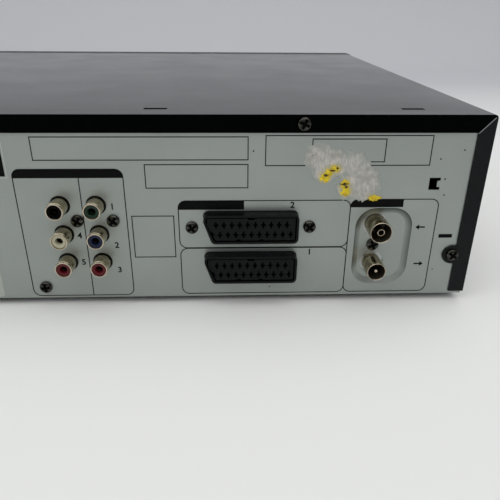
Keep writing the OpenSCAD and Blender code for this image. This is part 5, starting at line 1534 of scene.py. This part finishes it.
@dataclass
class Fascia:
    """The moulded front, its keys, window and jacks."""

    lift: float = 0.03
    sign: float = 1.7
    signs: tuple[tuple[str, str], ...] = (
        ("eject_button", "u_"),
        ("rewind_button", "ll"),
        ("play_button", "r"),
        ("forward_button", "rr"),
        ("stop_button", "s"),
        ("record_button", "o"),
        ("tray_button", "u_"),
        ("power_button", "p"),
    )
    keys: tuple[str, ...] = (
        "power_button", "eject_button", "rewind_button", "play_button", "forward_button",
        "stop_button", "record_button", "channel_rocker", "tray_button",
    )
    strip_set: float = 3.0
    strip_deep: float = 0.15
    strip_lift: float = 0.05
    strip: Patch = (-205.0, 205.0, 28.5, 29.5)
    rocker_sign: float = 3.6
    rocker_lift: float = 0.01
    rocker_sunk: float = 0.5
    jack_margin: float = 8.0
    jack_radius: float = 4.2
    jack_bore: float = 3.36
    jack_long: float = 5.0
    jack_stand: float = 0.04
    insert_stand: float = 0.06

    def jacks(self, maker: Maker) -> None:
        """Sleeves the front jacks in nickel and gives their inserts their colours.

        Args:
            maker: What makes the pieces.
        """
        low, high = maker.box("front_jacks")
        (key_low, key_high), rim = maker.box("power_button"), self.jack_stand - low.y
        model = PhonoSockets(self.jack_radius, self.jack_bore, rim - self.jack_long)
        turn, z = Matrix.Rotation(math.pi, 4, "Z"), (key_low.z + key_high.z) / 2
        centre, pitch = (low.x + high.x) / 2, (high.x - low.x) / 2 - self.jack_margin
        places = [Matrix.Translation((centre + i * pitch, 0, z)) @ turn for i in (-1, 0, 1)]
        shells = Bench.gather([(model.shell(rim), place, -1) for place in places])
        metal = [Stock.NICKEL, Stock.RIM]
        maker.piece("front_jack_shells", shells, metal, "housing", "nickel")
        colours = [Stock.YELLOW_INSERT, Stock.IVORY_INSERT, Stock.RED_INSERT]
        tip = rim + self.insert_stand
        parts = [(model.insert(tip), place, i) for i, place in enumerate(places)]
        slot = maker.slots["phono_inserts"]
        maker.piece("front_jack_inserts", Bench.gather(parts), colours, "housing", slot)

    def trim(self, maker: Maker) -> None:
        """Lays a bright strip along the top of the key row and arrows on the rocker.

        Args:
            maker: What makes the pieces.
        """
        face = maker.box("front_panel")[0].y + self.strip_set
        strip = Bench.plate(self.strip)
        Bench.thicken(strip, face - self.strip_deep, face + self.strip_lift)
        slot = maker.slots["power_button"]
        maker.piece("front_trim_strip", strip, [Stock.TRIM], "housing", slot)
        up, mirror = Matrix.Translation((0, 0, self.rocker_sign)), Matrix.Scale(-1, 4, (0, 0, 1))
        pair = [(self.symbol("u"), flip @ up, 0) for flip in (STILL, mirror)]
        self.mark(maker, "channel_rocker", Bench.gather(pair), self.rocker_lift, self.rocker_sunk)

    @staticmethod
    def mark(maker: Maker, key: str, form: Form, lift: float, sunk: float = 0.0) -> None:
        """Prints a sign on the middle of a key's face.

        Args:
            maker: What makes the pieces.
            key: The key's CAD node.
            form: The sign, flat, with its middle at the origin.
            lift: How far it stands off the face.
            sunk: How far it reaches below the face.
        """
        low, high = maker.box(key)
        sign = Bench.thicken(form, low.y - lift, low.y + sunk)
        bmesh.ops.transform(sign, matrix=middle(low, high), verts=sign.verts)
        maker.piece(key + "_sign", sign, [Stock.INK], *maker.ties(key))

    def symbol(self, marks: str) -> Form:
        """Draws a plain transport sign as a flat form.

        Args:
            marks: One letter for each mark: l and r point left and right, u points up, _ is a
                bar below, s a square, o a dot, p a ring with a stroke.

        Returns:
            The sign, with its middle at the origin.
        """
        a, b = self.sign, self.sign * 0.8
        turns, c = arc(math.tau, 32)[:-1], self.sign * 0.9
        shapes = {
            "r": [(-b, -a), (b, 0), (-b, a)],
            "l": [(b, -a), (b, a), (-b, 0)],
            "u": [(-a, -a * 0.3), (a, -a * 0.3), (0, a)],
            "_": [(-a, -a), (a, -a), (a, -a * 0.6), (-a, -a * 0.6)],
            "s": [(-b, -b), (b, -b), (b, b), (-b, b)],
            "o": [(c * math.cos(t), c * math.sin(t)) for t in turns],
        }
        if marks == "p":
            outer, stroke = 1.15 * a, 0.22 * a
            ring = Bench.ring((-outer, outer, -outer, outer), 2 * stroke, outer * 0.98)
            return Bench.pile([ring, Bench.plate((-stroke, stroke, 0.1 * a, 1.6 * a))])
        step = a * 1.7 if marks in ("ll", "rr") else 0.0
        return Bench.gather([
            (Bench.outline(shapes[mark]), Matrix.Translation((step * (i - 0.5), 0, 0)), 0)
            for i, mark in enumerate(marks)
        ])

    def build(self, maker: Maker) -> None:
        """Dresses the front and prints the signs on its keys.

        Args:
            maker: What makes the pieces.
        """
        self.jacks(maker)
        self.trim(maker)
        for key, marks in self.signs:
            self.mark(maker, key, self.symbol(marks), self.lift)
        for node in ("front_panel", "cassette_flap", "tray_door"):
            maker.refine(node, [Stock.FRONT], 0.3)
        maker.refine("display_window", [Stock.SMOKE], 0.2)
        maker.refine("front_jacks", [Stock.BLACK], 0.15)
        for key in self.keys:
            maker.refine(key, [Stock.TRIM], 0.4, 3)
        maker.dress(Stock.TUBE, "display_tube")
        maker.dress(Stock.GREEN, "front_board")


@dataclass
class Inside:
    """Boards, the disc loader and the tape deck."""

    plain: tuple[tuple[Finish, str], ...] = (
        (Stock.TIN, "tuner_can"),
        (Stock.GREEN, "main_board"),
        (Stock.TAN, "power_board"),
        (Stock.IRON, "transformer"),
        (Stock.PLASTIC, "loader_frame disc_clamp turntable traverse pickup_sled"),
        (Stock.ZINC, "clamp_bridge deck_plate cassette_holder cradle_brackets"),
        (Stock.STEEL, "tray_motor loading_motor capstan pinch_arm fixed_heads"),
        (Stock.GEAR, "motor_pulley tray_gear supply_reel takeup_reel"),
        (Stock.GEAR, "supply_guide takeup_guide cam_gear loading_pinion"),
        (Stock.BELT, "tray_belt pinch_roller"),
        (Stock.DRUM, "head_drum drum_base"),
    )

    def build(self, maker: Maker) -> None:
        """Dresses what sits under the cover, the inlet and the disc tray.

        Args:
            maker: What makes the pieces.
        """
        maker.refine("mains_inlet", [Stock.BLACK], 0.2)
        maker.refine("disc_tray", [Stock.PLASTIC], 0.25)
        for finish, nodes in self.plain:
            maker.dress(finish, *nodes.split())


@dataclass
class Studio:
    """Floor, backdrop, lamps and camera. Lamps are in metres and watts."""

    camera_place: tuple[float, float, float] = (-92.0, 403.0, 141.36)
    yaw: float = 2.3922
    pitch: float = 25.2154
    roll: float = 0.5187
    lens: float = 37.31
    sensor: float = 36.0
    reach: float = 14000.0
    bend_start: float = -900.0
    bend: float = 400.0
    wall_top: float = 3500.0
    floor_colour: str = "ebecea"
    wall_colour: str = "c8c9cd"
    paper_roughness: float = 0.9
    paper_shine: float = 0.2
    blend: Point = (-0.2, -0.7)
    room_light: float = 0.24
    lit_point: tuple[float, float, float] = (0.0, 0.0, 0.05)
    lamps: tuple[tuple[str, tuple[float, float, float], float, float], ...] = (
        ("window_lamp", (-0.85, -1.6, 2.0), 3.4, 46),
        ("ceiling_lamp", (-0.05, 0.85, 2.0), 3.0, 37),
        ("side_lamp", (1.5, 1.0, 1.3), 0.9, 5),
    )

    def sweep(self) -> None:
        """Makes the floor and the wall behind it as one curved sheet."""
        form = bmesh.new()
        start, bend = self.bend_start, self.bend
        turns, line = arc(math.pi / 2, 16), [(self.reach, 0.0)]
        line += [(start - bend * math.sin(a), bend - bend * math.cos(a)) for a in turns]
        line.append((start - bend, self.wall_top))
        points = [form.verts.new((-self.reach, y, z)) for y, z in line]
        edges = [form.edges.new(pair) for pair in zip(points, points[1:])]
        drawn = bmesh.ops.extrude_edge_only(form, edges=edges)["geom"]
        moved = [g for g in drawn if isinstance(g, bmesh.types.BMVert)]
        bmesh.ops.translate(form, verts=moved, vec=(2 * self.reach, 0, 0))
        bmesh.ops.recalc_face_normals(form, faces=form.faces)
        if sum(face.normal.z for face in form.faces) < 0:
            bmesh.ops.reverse_faces(form, faces=form.faces)
        mesh = mesh_of(form, "studio_sweep")
        mesh.materials.append(self.paper())
        show("studio_sweep", mesh)

    def paper(self) -> bpy.types.Material:
        """Builds the sweep's matt paper, paler on the floor than on the wall.

        Returns:
            The material.
        """
        floor, wall, rough = self.floor_colour, self.wall_colour, self.paper_roughness
        sheet = Shader(Finish("studio_paper", floor, wall, rough))
        depth = sheet.add("ShaderNodeSeparateXYZ", {0: sheet.place}).outputs["Y"]
        share = sheet.window(depth, *self.blend)
        return sheet.surface({
            "Base Color": sheet.mix(share, linear(floor), linear(wall)),
            "Roughness": rough,
            "Specular IOR Level": self.paper_shine,
        })

    def lamp(self, name: str, place: Sequence[float], size: float, power: float) -> None:
        """Hangs one soft square lamp that looks at the deck.

        Args:
            name: The lamp's name.
            place: Where it hangs.
            size: Its side.
            power: Its power.
        """
        data = bpy.data.lights.new(name, "AREA")
        data.shape = "SQUARE"
        data.size = size
        data.energy = power
        lamp = show(name, data)
        lamp.location = place
        ahead = Vector(self.lit_point) - Vector(place)
        lamp.rotation_euler = ahead.to_track_quat("-Z", "Y").to_euler()

    def camera(self) -> None:
        """Stands the camera where the rear corner is seen from above."""
        yaw, pitch, roll = (math.radians(a) for a in (self.yaw, self.pitch, self.roll))
        flat = math.cos(pitch)
        ahead = Vector((-math.sin(yaw) * flat, -math.cos(yaw) * flat, -math.sin(pitch)))
        level = Vector((-math.cos(yaw), math.sin(yaw), 0))
        upright = level.cross(ahead)
        right = level * math.cos(roll) + upright * math.sin(roll)
        up = upright * math.cos(roll) - level * math.sin(roll)
        data = bpy.data.cameras.new("deck_camera")
        data.lens = self.lens
        data.sensor_width = self.sensor
        data.clip_start = 0.02
        data.clip_end = 30
        data.dof.use_dof = False
        camera = show("deck_camera", data)
        turn = Matrix((right, up, -ahead)).transposed().to_4x4()
        camera.matrix_world = Matrix.Translation(Vector(self.camera_place) * MM) @ turn
        bpy.context.scene.camera = camera

    def build(self) -> None:
        """Sets up the studio."""
        scene = bpy.context.scene
        scene.view_settings.view_transform = "Standard"
        world = bpy.data.worlds.new("soft_room")
        world.use_nodes = True
        sky = world.node_tree.nodes["Background"].inputs
        sky["Color"].default_value = (1.0, 1.0, 1.0, 1)
        sky["Strength"].default_value = self.room_light
        scene.world = world
        self.sweep()
        for lamp in self.lamps:
            self.lamp(*lamp)
        self.camera()


def main() -> None:
    """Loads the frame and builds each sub-assembly."""
    logging.basicConfig(level=logging.INFO, format="%(name)s: %(message)s")
    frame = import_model()
    maker = Maker(frame)
    for assembly in (
        Housing(), Print(), Screws(), PhonoSockets(), EuroSockets(), AerialSockets(),
        StickerResidue(), Fascia(), Inside(),
    ):
        LOG.info("building %s", type(assembly).__name__)
        assembly.build(maker)
    Studio().build()


if __name__ == "__main__":
    main()
